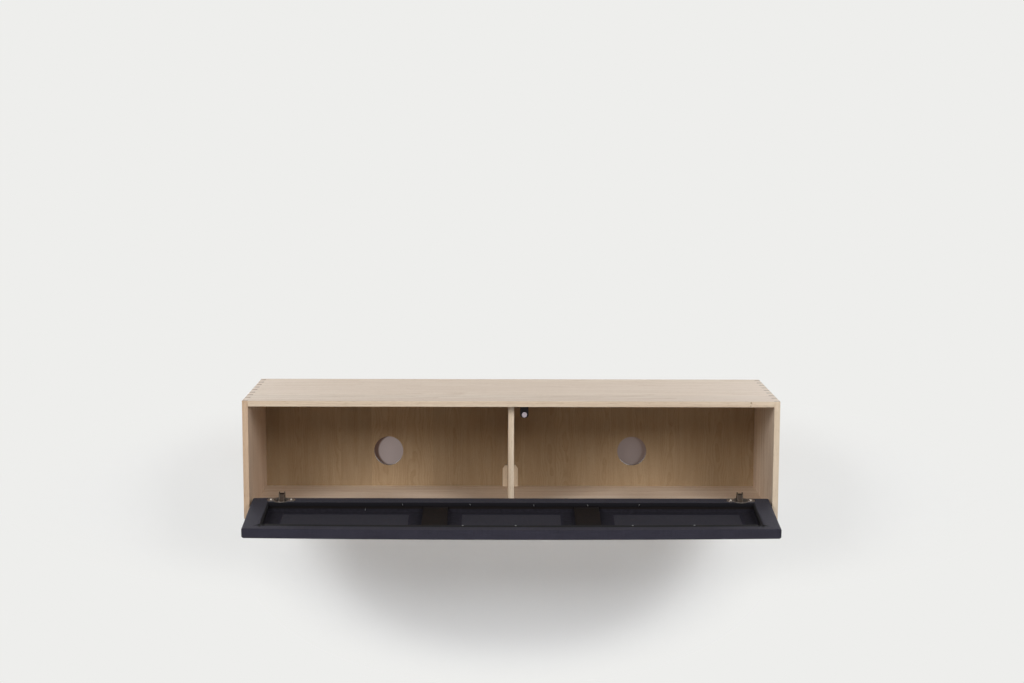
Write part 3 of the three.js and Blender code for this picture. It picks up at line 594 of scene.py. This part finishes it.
def rounded_loops(insets, long_steps, short_steps, corner_steps, near=0.03, near_steps=40):
    """One closed loop of points for each inset: a rectangle the size of the flap drawn in by the
    inset, with round corners that shrink with it. The share `near` of a long side next to each
    corner has near_steps points. Gives (x, up) places and outward directions."""
    half_x, half_up = FLAP[0] - insets, FLAP[1] / 2 - insets
    radius = np.clip(CORNER_ROUND - insets, 0, None)
    places, directions = [], []
    for quarter, (sx, su) in enumerate(((1, 1), (-1, 1), (-1, -1), (1, -1))):
        angle = np.linspace(0, math.pi / 2, corner_steps) + quarter * math.pi / 2
        cx = sx * (half_x - radius)[:, None]
        cu = su * (half_up - radius)[:, None]
        around = np.stack([np.cos(angle), np.sin(angle)], -1)
        corner = np.stack(np.broadcast_arrays(cx, cu), -1) + radius[:, None, None] * around
        places.append(corner)
        directions.append(np.broadcast_to(around, corner.shape))
    rows, facing = [], []
    fine = np.linspace(0, near, near_steps)
    middle = np.linspace(near, 1 - near, long_steps)[1:-1]
    long_share = np.concatenate([fine, middle, 1 - fine[::-1]])
    for quarter in range(4):
        share = long_share if quarter % 2 == 0 else np.linspace(0, 1, short_steps)
        share = share[1:-1, None]
        start, end = places[quarter][:, -1:], places[(quarter + 1) % 4][:, :1]
        rows += [places[quarter], start + (end - start) * share]
        facing += [directions[quarter], np.repeat(directions[quarter][:, -1:], len(share), 1)]
    return np.concatenate(rows, 1), np.concatenate(facing, 1)


def grid_mesh(name, points, around=True, uv=None):
    """A mesh from a grid of points, rows by columns, with each row closed when around is true."""
    rows, columns = points.shape[:2]
    index = np.arange(rows * columns).reshape(rows, columns)
    if around:
        index = np.concatenate([index, index[:, :1]], 1)
    quads = np.stack([index[:-1, :-1], index[:-1, 1:], index[1:, 1:], index[1:, :-1]], -1)
    mesh = bpy.data.meshes.new(name)
    mesh.from_pydata(points.reshape(-1, 3), [], quads.reshape(-1, 4).tolist())
    if uv is not None:
        corner = np.empty(len(mesh.loops), np.int32)
        mesh.loops.foreach_get("vertex_index", corner)
        layer = mesh.uv_layers.new(name="Cloth")
        layer.uv.foreach_set("vector", uv.reshape(-1, 2)[corner].astype(np.float32).ravel())
    mesh.polygons.foreach_set("use_smooth", np.ones(len(mesh.polygons), bool))
    return mesh


def sealed(mesh, gap=WELD):
    """Joins a mesh's points that lie within a gap of each other, and turns its faces outwards."""
    work = bmesh.new()
    work.from_mesh(mesh)
    bmesh.ops.remove_doubles(work, verts=work.verts, dist=gap)
    bmesh.ops.recalc_face_normals(work, faces=work.faces)
    work.to_mesh(mesh)
    work.free()


profile = cloth_profile()
inset, deep = profile[:, 0], profile[:, 1]
places, facing = rounded_loops(inset, long_steps=190, short_steps=40, corner_steps=7)
step = np.linalg.norm(np.diff(profile, axis=0), axis=1)
run = np.concatenate([[0], np.cumsum(step)])
flat_inset = inset[-1] - (run[-1] - run)
unfolded = places + facing * (inset - flat_inset)[:, None, None]
x, up = places[..., 0], places[..., 1] + FLAP[1] / 2
depth = np.repeat(deep[:, None], x.shape[1], 1)
on_rim = np.clip(1 - depth / EDGE_ROUND, 0, 1)
# the cut edge in the pocket is not quite straight
raw = np.sin(x * 31) + np.sin(x * 83 + 2) + np.sin(up * 57)
on_wall = ((inset > RIM - 0.1 * MM) & (deep <= TURN_IN))[:, None]
depth += CUT_WAVE * raw * np.clip(depth / TURN_IN, 0, 1) * on_wall
# the mitred folds: a doubled edge along each corner's diagonal, highest at the pocket
from_side, from_end = FLAP[0] - np.abs(x), FLAP[1] / 2 - np.abs(up - FLAP[1] / 2)
diagonal = (from_side - from_end) / math.sqrt(2)
fold = np.exp(-((diagonal / FOLD_HALF) ** 2)) * np.clip(inset[:, None] / RIM, 0, 1) ** 2
depth -= FOLD_RISE * fold * on_rim
# a pinched pleat at each of the pocket's corners on the free rail: a ridge between two grooves
beside = np.abs(np.abs(x) - (FLAP[0] - RIM - PLEAT_FROM_CORNER))
reach = np.clip((from_end - (RIM - PLEAT_START)) / PLEAT_RUN, 0, 1) * (up > FLAP[1] / 2) * on_rim
depth -= PLEAT_RISE * reach * np.exp(-((beside / PLEAT_HALF) ** 2))
depth += GROOVE_DROP * reach * np.exp(-(((beside - GROOVE_AT) / GROOVE_HALF) ** 2))
# the strike plate shows through as a faint round rise
strike_low, strike_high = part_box("strike_plate")
strike_x = (strike_low.x + strike_high.x) / 2
spot_gap = np.hypot(x - strike_x, up - (FLAP[1] - STRIKE_DOWN))
depth -= STRIKE_RISE / 2 * on_rim * (1 - np.tanh((spot_gap - STRIKE_RADIUS) / STRIKE_SLOPE))
depth += sag(x, up)
skin = grid_mesh("flap_cloth", on_flap(x, up, depth), uv=unfolded)
# the innermost loop is a line along the face's middle: its two sides are joined
sealed(skin, 10 * WELD)


def woven(name, warp, weft, pitch, cut, glued):
    """Plain-woven cloth. Two sine bands a thread apart, one across the other, take turns to lie on
    top, as warp and weft do. The threads are drawn `pitch` millimetres apart, about twice their
    real spacing, so that the weave shows. Slubs along both threads make it slightly streaky. A
    band along the cut edge, `glued` metres wide, is drawn near black: painted shade, for the
    pocket's wall in shade. At the free rail it is darker still and covers a strip of the rim too,
    with a pointed dart at either end: painted shade along the rim's inner edge. `cut` is the
    cloth's flat width and length: a place's distance from the edge is half the cut less its UV
    place."""
    material, tree, shader = finish_of(name)
    flat = add(tree, "UVMap", uv_map="Cloth")
    split = add(tree, "SeparateXYZ", {0: flat}).outputs
    waves = []
    for axis in (0, 1):
        turns = add(tree, "Math", {0: split[axis], 1: math.pi / (pitch * MM)}, operation="MULTIPLY")
        waves.append(add(tree, "Math", {0: turns}, operation="SINE"))
    crossing = add(tree, "Math", {0: waves[0], 1: waves[1]}, operation="MULTIPLY")
    over = add(tree, "MapRange", {0: crossing, 1: -0.25, 2: 0.25})
    slubs = []
    for size in ((25.0, 900.0, 1.0), (900.0, 25.0, 1.0)):
        drawn = add(tree, "VectorMath", {0: flat, 1: size}, operation="MULTIPLY")
        slubs.append(add(tree, "TexNoise", {"Vector": drawn, "Scale": 1.0, "Detail": 3.0}))
    streaks = add(tree, "Math", {0: slubs[0], 1: slubs[1]}, operation="ADD")
    lint = add(tree, "TexNoise", {"Vector": flat, "Scale": 9.0, "Detail": 5.0})
    tint = add(
        tree, "Mix", {"Factor": over, "A": linear(warp), "B": linear(weft)}, data_type="RGBA"
    )
    light = add(tree, "MapRange", {0: streaks, 1: 0.75, 2: 1.25, 3: 0.86, 4: 1.14})
    wear = add(tree, "MapRange", {0: lint, 1: 0.3, 2: 0.7, 3: 0.92, 4: 1.08})
    light = add(tree, "Math", {0: light, 1: wear}, operation="MULTIPLY")
    tint = add(
        tree, "Mix", {"Factor": 1.0, "A": tint, "B": light}, data_type="RGBA", blend_type="MULTIPLY"
    )
    off = add(tree, "Math", {0: split[0]}, operation="ABSOLUTE")
    ends = add(tree, "Math", {0: cut[0] / 2, 1: off}, operation="SUBTRACT")
    low = add(tree, "Math", {0: cut[1] / 2, 1: split[1]}, operation="ADD")
    beside = add(tree, "Math", {0: off, 1: DART_AT}, operation="SUBTRACT")
    beside = add(tree, "Math", {0: beside}, operation="ABSOLUTE")
    dart = add(tree, "MapRange", {0: beside, 2: DART_HALF, 3: DART_LONG, 4: 0.0})
    strip = add(tree, "Math", {0: dart, 1: RIM_STRIP}, operation="ADD")
    high = add(tree, "Math", {0: cut[1] / 2, 1: split[1]}, operation="SUBTRACT")
    high = add(tree, "Math", {0: high, 1: strip}, operation="SUBTRACT")
    nearest = add(tree, "Math", {0: ends, 1: low}, operation="MINIMUM")
    for edge, dark in zip((nearest, high), POCKET_SHADE_TONES):
        band_shade = add(tree, "MapRange", {0: edge, 1: glued + 1 * MM, 2: glued - 1 * MM})
        tint = add(tree, "Mix", {"Factor": band_shade, "A": tint, "B": linear(dark)}, data_type="RGBA")
    bump = add(tree, "Bump", {"Height": crossing, "Strength": 0.5, "Distance": 0.15 * MM})
    feed(shader, {"Base Color": tint, "Normal": bump, "Roughness": 0.9, "Specular IOR Level": 0.1})
    feed(shader, {"Sheen Weight": 0.04, "Sheen Roughness": 0.5})
    return material


# Painted shade: near-black cloth round each pocket, where its wall lies in shade, and darker still
# along the free rail's inner edge.
POCKET_SHADE_TONES = ("#19181c", "#0d0c0e")  # round the pocket, along the free rail
RIM_STRIP = 13 * MM
DART_AT, DART_HALF, DART_LONG = 545 * MM, 3.5 * MM, 12 * MM
WEAVE = {"pitch": 1.1, "cut": 2 * abs(unfolded).max((0, 1)), "glued": 9 * MM}
speaker_cloth = woven("charcoal speaker cloth", "#37353f", "#2b2a33", **WEAVE)
shaded_cloth_back = woven("charcoal speaker cloth, back, painted shade", "#312f38", "#26252d", **WEAVE)
cloth = standing_for("fabric_cover", "flap_cloth", skin, speaker_cloth)
skin.materials.append(shaded_cloth_back)
thick = cloth.modifiers.new("thickness", "SOLIDIFY")
thick.thickness = CLOTH
thick.offset = -1
thick.material_offset = 1
for side in ("left", "right"):
    low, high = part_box(f"{side}_hinge_cup")
    turn = np.linspace(0, 2 * math.pi, 48, endpoint=False)
    round_x = (low.x + high.x) / 2 + CUP_HOLE * np.cos(turn)
    round_up = CUP_UP + CUP_HOLE * np.sin(turn)
    ends = [on_flap(round_x, round_up, np.full_like(turn, deep)) for deep in (-3 * MM, 6 * MM)]
    middle = [np.repeat(end.mean(0)[None], len(turn), 0) for end in ends]
    punch_mesh = grid_mesh("punch", np.stack([middle[0], *ends, middle[1]]))
    sealed(punch_mesh)
    punch = placed("punch", punch_mesh)
    hole = cloth.modifiers.new("cup hole", "BOOLEAN")
    hole.operation = "DIFFERENCE"
    hole.object = punch
    shaped = cloth.evaluated_get(bpy.context.evaluated_depsgraph_get())
    punched = bpy.data.meshes.new_from_object(shaped)
    cloth.modifiers.clear()
    cloth.data = punched
    bpy.data.objects.remove(punch)

# Pocket lining, painted shade

# A dark strip lines the foot of each pocket's walls and turns from the wood on to the cloth:
# painted shade, a dark sheet where the walls and bars shade the pocket's floor.

TAPE = 0.8 * MM
TAPE_CLEAR = 0.1 * MM  # from the cloth's back
RUN_SHARES = [0.4, 0.7, 1.0]
TAPE_TOP = 14 * MM  # where it starts on the wall, from the inner face
TAPE_TURN = 3 * MM
ACROSS_UP = 21 * MM  # reach on the cloth from either rail
FROM_STILE, FROM_BAR = 34 * MM, 31 * MM
LOW_UP, HIGH_UP = RIM, FLAP[1] - RIM


def taped(low_x, high_x, low_reach, high_reach):
    """A dark strip round one pocket, painted shade: a closed section carried along four mitred
    runs.
    The section goes down the wall, round the foot on a quarter circle and out along the cloth, and
    comes back a tape's thickness lower. A reach is how far it runs out from a wall. Gives the
    places, and for each its share of the way from the wall's foot to the free edge as the second UV
    value."""
    bottom = FLAP[2] - CLOTH - TAPE_CLEAR
    curve = np.linspace(0, math.pi / 2, 6)
    foot = np.stack([1 - np.cos(curve), 1 - np.sin(curve)], 1)
    sides = []
    share = np.linspace(0, 1, 50)
    for reach in (ACROSS_UP, high_reach, ACROSS_UP, low_reach):
        rows = []
        for thin in (TAPE, 0.0):
            turn = TAPE_TURN - thin
            bend = np.stack([thin + turn * foot[:, 0], bottom - thin - turn * foot[:, 1]], 1)
            run_out = [[reach * k, bottom - thin] for k in RUN_SHARES]
            rows.append(np.concatenate([[[thin, TAPE_TOP]], bend, run_out]))
        sides.append(np.concatenate([rows[0], rows[1][::-1]]))
    corners = []
    for sx, su in ((0, 0), (1, 0), (1, 1), (0, 1)):
        along_x, along_up = sides[1 if sx else 3], sides[2 if su else 0]
        x = high_x - along_x[:, 0] if sx else low_x + along_x[:, 0]
        up = HIGH_UP - along_up[:, 0] if su else LOW_UP + along_up[:, 0]
        corners.append(np.stack([x, up, along_up[:, 1]], 1))
    runs = []
    for start, end in zip(corners, corners[1:] + corners[:1]):
        runs.append(start + (end - start) * share[:-1, None, None])
    line = np.concatenate([*runs, corners[0][None]])
    x, up, depth = np.moveaxis(line, 2, 0)
    way = np.concatenate([np.zeros(1 + len(foot)), RUN_SHARES])
    way = np.broadcast_to(np.concatenate([way, way[::-1]]), x.shape)
    return on_flap(x, up, depth + sag(x, up)), np.stack([np.zeros_like(way), way], -1)


# Painted shade: the lining is drawn near black.
felt, tree, shader = finish_of("dark lining, painted shade")
spot = add(tree, "TexCoord").outputs
fibre = add(tree, "TexNoise", {"Vector": spot["Object"], "Scale": 900.0, "Detail": 3.0})
clump = add(tree, "TexNoise", {"Vector": spot["Object"], "Scale": 120.0, "Detail": 2.0})
both = add(tree, "Math", {0: fibre, 1: clump}, operation="ADD")
fuzz = add(tree, "MapRange", {0: both, 1: 0.7, 2: 1.3})
tint = add(
    tree, "Mix", {"Factor": fuzz, "A": linear("#212025"), "B": linear("#2d2b32")}, data_type="RGBA"
)
# towards the free edge it fades to the cloth's tone, so that the painted shade ends softly
flat = add(tree, "UVMap", uv_map="Cloth")
way = add(tree, "SeparateXYZ", {0: flat}).outputs
thin = add(tree, "MapRange", {0: way[1], 1: 0.72, 2: 1.0, 4: 0.8}, interpolation_type="SMOOTHSTEP")
tint = add(tree, "Mix", {"Factor": thin, "A": tint, "B": linear("#2b2932")}, data_type="RGBA")
bump = add(tree, "Bump", {"Height": both, "Strength": 0.5, "Distance": 0.3 * MM})
feed(shader, {"Base Color": tint, "Normal": bump, "Roughness": 1.0, "Specular IOR Level": 0.05})

pocket_x = FLAP[0] - RIM
bar_low, bar_high = (corner.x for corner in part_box("right_cross_bar"))
for word, low_x, high_x, low_reach, high_reach in (
    ("left", -pocket_x, -bar_high, FROM_STILE, FROM_BAR),
    ("middle", -bar_low, bar_low, FROM_BAR, FROM_BAR),
    ("right", bar_high, pocket_x, FROM_BAR, FROM_STILE),
):
    places, flat_places = taped(low_x, high_x, low_reach, high_reach)
    mesh = grid_mesh(f"{word}_tape", places, uv=flat_places)
    sealed(mesh)
    mesh.set_sharp_from_angle(angle=math.radians(50))
    mesh.materials.append(felt)
    tape = placed(f"{word}_pocket_shade_lining", mesh)
    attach(tape, "flap")

# Staples

# Fine wire staples hold the cloth along the pocket: on the pocket's wall beside the hinges and on
# the rim at the free edge, at the uneven spacing of a hand-held gun.

STAPLE_CROWN = 3.4 * MM
STAPLE_WIRE = 0.4 * MM
STAPLE_LEG = 1.5 * MM
STAPLE_LEAN = 0.35  # the most, in radians
WALL_STAPLES = ((-327, 16), (-243, 4.5), (-92, 4.5), (51, 6), (172, 6), (287, 5))  # (x, deep) in mm
RIM_STAPLES = (-106, 9, 263, 397)  # x in mm
RIM_STAPLES_IN = 4.5 * MM  # from the pocket's edge


def staple(at, along, out):
    """A staple as a round wire carried along three straight runs: up one leg, along the crown and
    down the other leg."""
    half, low = STAPLE_CROWN / 2, -STAPLE_LEG
    ease = 0.5 * STAPLE_WIRE
    stops = [[-half, low], [-half, -ease], [-half + ease, 0]]
    stops = np.array(stops + [[-aside, down] for aside, down in stops[::-1]])
    line = at + stops[:, :1] * along + (stops[:, 1:] + STAPLE_WIRE / 2) * out
    sideways = np.cross(along, out)
    travel = np.gradient(line, axis=0)
    travel /= np.linalg.norm(travel, axis=1, keepdims=True)
    lift = np.cross(sideways, travel)
    turn = np.linspace(0, 2 * math.pi, 8, endpoint=False)[:, None]
    ring = np.cos(turn) * sideways + np.sin(turn) * lift[:, None]
    points = line[:, None] + STAPLE_WIRE * ring
    first, last = (np.repeat(line[end][None, None], len(turn), 1) for end in (0, -1))
    return np.concatenate([first, points, last])


def flap_direction(x, up, deep):
    """A direction given on the flap, in the frame."""
    zero = np.zeros(1)
    tip = on_flap(zero + x, zero + up, zero + deep)[0]
    return tip - on_flap(zero, zero, zero)[0]


wires = []
for x_mm, deep_mm in WALL_STAPLES:
    proud = TAPE if deep_mm * MM > TAPE_TOP else 0.0  # a deep one is driven through the felt
    at = on_flap(np.array([x_mm * MM]), np.array([RIM + proud]), np.array([deep_mm * MM]))[0]
    lean = STAPLE_LEAN * math.sin(x_mm)
    along = flap_direction(math.sin(lean), 0, math.cos(lean))
    wires.append(staple(at, along, flap_direction(0, 1, 0)))
for x_mm in RIM_STAPLES:
    place = FLAP[1] - RIM + RIM_STAPLES_IN
    drop = sag(x_mm * MM, place)
    at = on_flap(np.array([x_mm * MM]), np.array([place]), drop[None])[0]
    lean = STAPLE_LEAN * math.sin(x_mm)
    along = flap_direction(math.cos(lean), math.sin(lean), 0)
    wires.append(staple(at, along, flap_direction(0, 0, -1)))
work = bmesh.new()
for number, points in enumerate(wires):
    one = grid_mesh(f"staple_{number}", points)
    work.from_mesh(one)
    bpy.data.meshes.remove(one)
mesh = bpy.data.meshes.new("cloth_staples")
work.to_mesh(mesh)
work.free()
sealed(mesh)
mesh.materials.append(zinc)
staples = placed("cloth_staples", mesh)
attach(staples, "flap")

# Hinge cups

# Each hinge's pressed cup is let into the hinge rail, and its flange lies on the cloth, held by
# two screws. A steel pin crosses the cup and carries the arm's eye.

satin_nickel = plated_steel("satin nickel plate, cups", ("#b0a7a1", "#8b827c"), 0.5, 0.4)
for side in ("left", "right"):
    soft_edged(f"{side}_hinge_cup", f"{side}_cup", satin_nickel, width=0.5 * MM, **HINGE)
    soft_edged(f"{side}_hinge_pin", f"{side}_pin", zinc, "zinc_steel", 0.2 * MM)
    for end in ("left", "right"):
        node = f"{side}_cup_screw_{end}"
        soft_edged(node, f"{node}_turned", nickel, "hinge_nickel", SCREW_EDGE)
disc = soft_edged("strike_plate", "strike_disc", zinc, "zinc_steel", 0.2 * MM)
hang(disc.data)

# Studio

# A pale sheet hangs behind the console as its wall and sweeps forward into a floor. Two large
# softboxes stand high in front, left and right, and two behind it light the back.

WALL_GAP = 0.3 * MM
FLOOR_Z = -1.15
SWEEP = 0.35
SHEET_HALF, SHEET_TOP, SHEET_FRONT = 9.0, 6.0, -11.0
bend = np.linspace(0, math.pi / 2, 17)
swept = np.stack([WALL_GAP - SWEEP * (1 - np.cos(bend)), FLOOR_Z + SWEEP * (1 - np.sin(bend))], 1)
line = np.concatenate([[[WALL_GAP, SHEET_TOP]], swept, [[SHEET_FRONT, FLOOR_Z]]])
edges = [np.insert(line, 0, x, axis=1) for x in (SHEET_HALF, -SHEET_HALF)]
backdrop_mesh = grid_mesh("backdrop", np.stack(edges, 1), around=False)
backdrop = placed("backdrop", backdrop_mesh)

PAPER = "#eeeeec"
LIT_PAPER, SHADED_PAPER = "#edeeef", "#d2c4c3"
SHADE_FADE = 50 * MM
paper, tree, shader = finish_of("backdrop paper")
spot = add(tree, "TexCoord").outputs
split = add(tree, "SeparateXYZ", {0: spot["Object"]}).outputs
# 1 on the wall right behind the case, where little light comes, and 0 beside it
case_low, case_high = (Vector(corner) for corner in cad_box)
case_middle, case_half = (case_high + case_low) / 2, (case_high - case_low) / 2
covered = []
for axis in (0, 2):
    away = add(tree, "Math", {0: split[axis], 1: case_middle[axis]}, operation="SUBTRACT")
    away = add(tree, "Math", {0: away}, operation="ABSOLUTE")
    half = case_half[axis]
    covered.append(add(tree, "MapRange", {0: away, 1: half, 2: half - SHADE_FADE}))
hidden = add(tree, "Math", {0: covered[0], 1: covered[1]}, operation="MULTIPLY")
tint = add(tree, "Mix", {"Factor": hidden}, data_type="RGBA")
feed(tint, {"A": linear(LIT_PAPER), "B": linear(SHADED_PAPER)})
feed(shader, {"Base Color": tint, "Roughness": 1.0, "Specular IOR Level": 0.0})

# Behind each cable hole a round pool of light lies on the shaded wall, nearer the middle of the
# case than the hole is. The place is for both pools, without signs. Shade and pool each have a
# left and a right tone, which blend between TONES_AT on either side of the middle.
POOLS_AT, POOL_RADIUS, POOL_BLUR = (282 * MM, 0.0, 77 * MM), 37 * MM, 2.5 * MM
SHADE_TONES, POOL_TONES = ("#402b20", "#5c4c45"), ("#887b77", "#6c5f5a")
TONES_AT = 270 * MM
folded = add(tree, "VectorMath", {0: spot["Object"]}, operation="ABSOLUTE")
gap = add(tree, "VectorMath", {0: folded, 1: POOLS_AT}, operation="DISTANCE")
pool = add(
    tree,
    "MapRange",
    {0: gap, 1: POOL_RADIUS + POOL_BLUR, 2: POOL_RADIUS - POOL_BLUR},
    interpolation_type="SMOOTHSTEP",
)
beyond = add(tree, "MapRange", {0: split[0], 1: -TONES_AT, 2: TONES_AT})
tones = [
    add(tree, "Mix", {"Factor": beyond, "A": linear(left), "B": linear(right)}, data_type="RGBA")
    for left, right in (SHADE_TONES, POOL_TONES)
]
shaded = add(tree, "Mix", {"Factor": pool, "A": tones[0], "B": tones[1]}, data_type="RGBA")
own = add(tree, "Mix", {"Factor": hidden, "A": linear(PAPER), "B": shaded}, data_type="RGBA")
glow = add(tree, "Emission", {"Color": own, "Strength": 1.0})

# The camera sees the paper at its own colour, apart from the shadow below the console and a faint
# one beside it. Each is an oval round a point below the origin: (half width, half height, depth of
# the middle, inner share) in metres, and it fades from the inner share of its size outwards.
OVALS = ((0.65, 0.32, 0.35, 0.53), (1.25, 0.28, 0.2, 0.6))
BESIDE_GLOW = 0.63
POOL_GLOW = 0.75
fades = []
for wide, tall, low, inner_share in OVALS:
    oval = add(
        tree,
        "VectorMath",
        {0: spot["Object"], 1: (1 / wide, 0.0, 1 / tall), 2: (0.0, 0.0, low / tall)},
        operation="MULTIPLY_ADD",
    )
    reach = add(tree, "VectorMath", {0: oval}, operation="LENGTH")
    fades.append(
        add(tree, "MapRange", {0: reach, 1: inner_share, 2: 1.0}, interpolation_type="SMOOTHSTEP")
    )
below, beside = fades
beside = add(tree, "MapRange", {0: beside, 3: BESIDE_GLOW})
far = add(tree, "Math", {0: below, 1: beside}, operation="MULTIPLY")
bare = add(tree, "Math", {0: 1.0, 1: hidden}, operation="SUBTRACT")
far = add(tree, "Math", {0: far, 1: bare}, operation="MULTIPLY")
veiled = add(tree, "Math", {0: hidden, 1: POOL_GLOW}, operation="MULTIPLY")
far = add(tree, "Math", {0: far, 1: veiled}, operation="MAXIMUM")
path = add(tree, "LightPath").outputs
far = add(tree, "Math", {0: far, 1: path["Is Camera Ray"]}, operation="MULTIPLY")
seen = far
for ray in ("Is Glossy Ray", "Is Transmission Ray"):
    seen = add(tree, "Math", {0: seen, 1: path[ray]}, operation="MAXIMUM")
lit = add(tree, "MixShader", {0: seen, 1: shader, 2: glow})
clear = add(tree, "BsdfTransparent")
behind = add(tree, "NewGeometry")
whole = add(tree, "MixShader", {0: behind.outputs["Backfacing"], 1: lit, 2: clear})
feed(tree.nodes["Material Output"], {"Surface": whole})
backdrop_mesh.materials.append(paper)

world = bpy.data.worlds.new("studio air")
bpy.context.scene.world = world
world.use_nodes = True
tree = world.node_tree
air = tree.nodes["Background"]
feed(air, {"Color": (1.0, 1.0, 1.0, 1.0), "Strength": 0.2})
pale = add(tree, "Background", {"Color": linear(PAPER), "Strength": 1.0})
path = add(tree, "LightPath").outputs
seen = 0.0
for ray in ("Is Camera Ray", "Is Glossy Ray", "Is Transmission Ray"):
    seen = add(tree, "Math", {0: seen, 1: path[ray]}, operation="MAXIMUM")
both = add(tree, "MixShader", {0: seen, 1: air, 2: pale})
feed(tree.nodes["World Output"], {"Surface": both})

AIM = Vector((0.0, -0.2, -0.1))
FRONT_LAMP = {"place": (2.6, -4.6, 2.2), "size": (1.7, 1.9), "power": 118}
REAR_LAMP = {"place": (3.0, 4.6, 1.8), "size": (3.0, 2.4), "power": 150}


def softbox(name, side, place, size, power):
    """A rectangular lamp, in metres and watts, turned to the console and hidden from the camera.
    It stands at its place, or where side is -1 at that place's mirror image on the left."""
    lamp = bpy.data.lights.new(name, "AREA")
    lamp.shape = "RECTANGLE"
    lamp.size, lamp.size_y = size
    lamp.energy = power
    holder = placed(name, lamp)
    holder.location = (side * place[0], *place[1:])
    holder.rotation_euler = (AIM - holder.location).to_track_quat("-Z", "Y").to_euler()
    holder.visible_camera = False
    return holder


for word, side in (("left", -1), ("right", 1)):
    softbox(f"softbox_{word}", side, **FRONT_LAMP)
# the wall doesn't hold back the lamps behind it, which light the case's back for a look from there
unblocked = bpy.data.collections.new("blocks the rear lamps")
for piece in bpy.context.scene.collection.all_objects:
    if piece.type == "MESH" and piece != backdrop:
        unblocked.objects.link(piece)
for word, side in (("left", -1), ("right", 1)):
    rear = softbox(f"softbox_rear_{word}", side, **REAR_LAMP)
    rear.light_linking.blocker_collection = unblocked
    rear.data.cycles.max_bounces = 0

# Camera

# It stands 4.7 m in front of the case and looks down by nearly 10 degrees. Its lens axis meets the
# picture below its middle, so the frame is shifted up.

LENS = 75.07
SHIFT_UP = 0.1339
CAMERA = Vector((-0.02915, -5.1177, 0.72864))
YAW, PITCH, ROLL = math.radians(-0.377), math.radians(-9.698), math.radians(-0.154)
forward, right, up_axis = Vector((0, 1, 0)), Vector((1, 0, 0)), Vector((0, 0, 1))
turn = Matrix.Rotation(YAW, 3, up_axis)
forward, right = turn @ forward, turn @ right
turn = Matrix.Rotation(PITCH, 3, right)
forward, up_axis = turn @ forward, turn @ up_axis
turn = Matrix.Rotation(ROLL, 3, forward)
right, up_axis = turn @ right, turn @ up_axis
lens = bpy.data.cameras.new("photo camera")
lens.lens = LENS
lens.sensor_width = 36.0
lens.shift_y = SHIFT_UP
camera = placed("photo camera", lens)
facing = Matrix((right, up_axis, -forward)).transposed().to_4x4()
camera.matrix_world = Matrix.Translation(CAMERA) @ facing
bpy.context.scene.camera = camera
bpy.context.scene.view_settings.view_transform = "Standard"
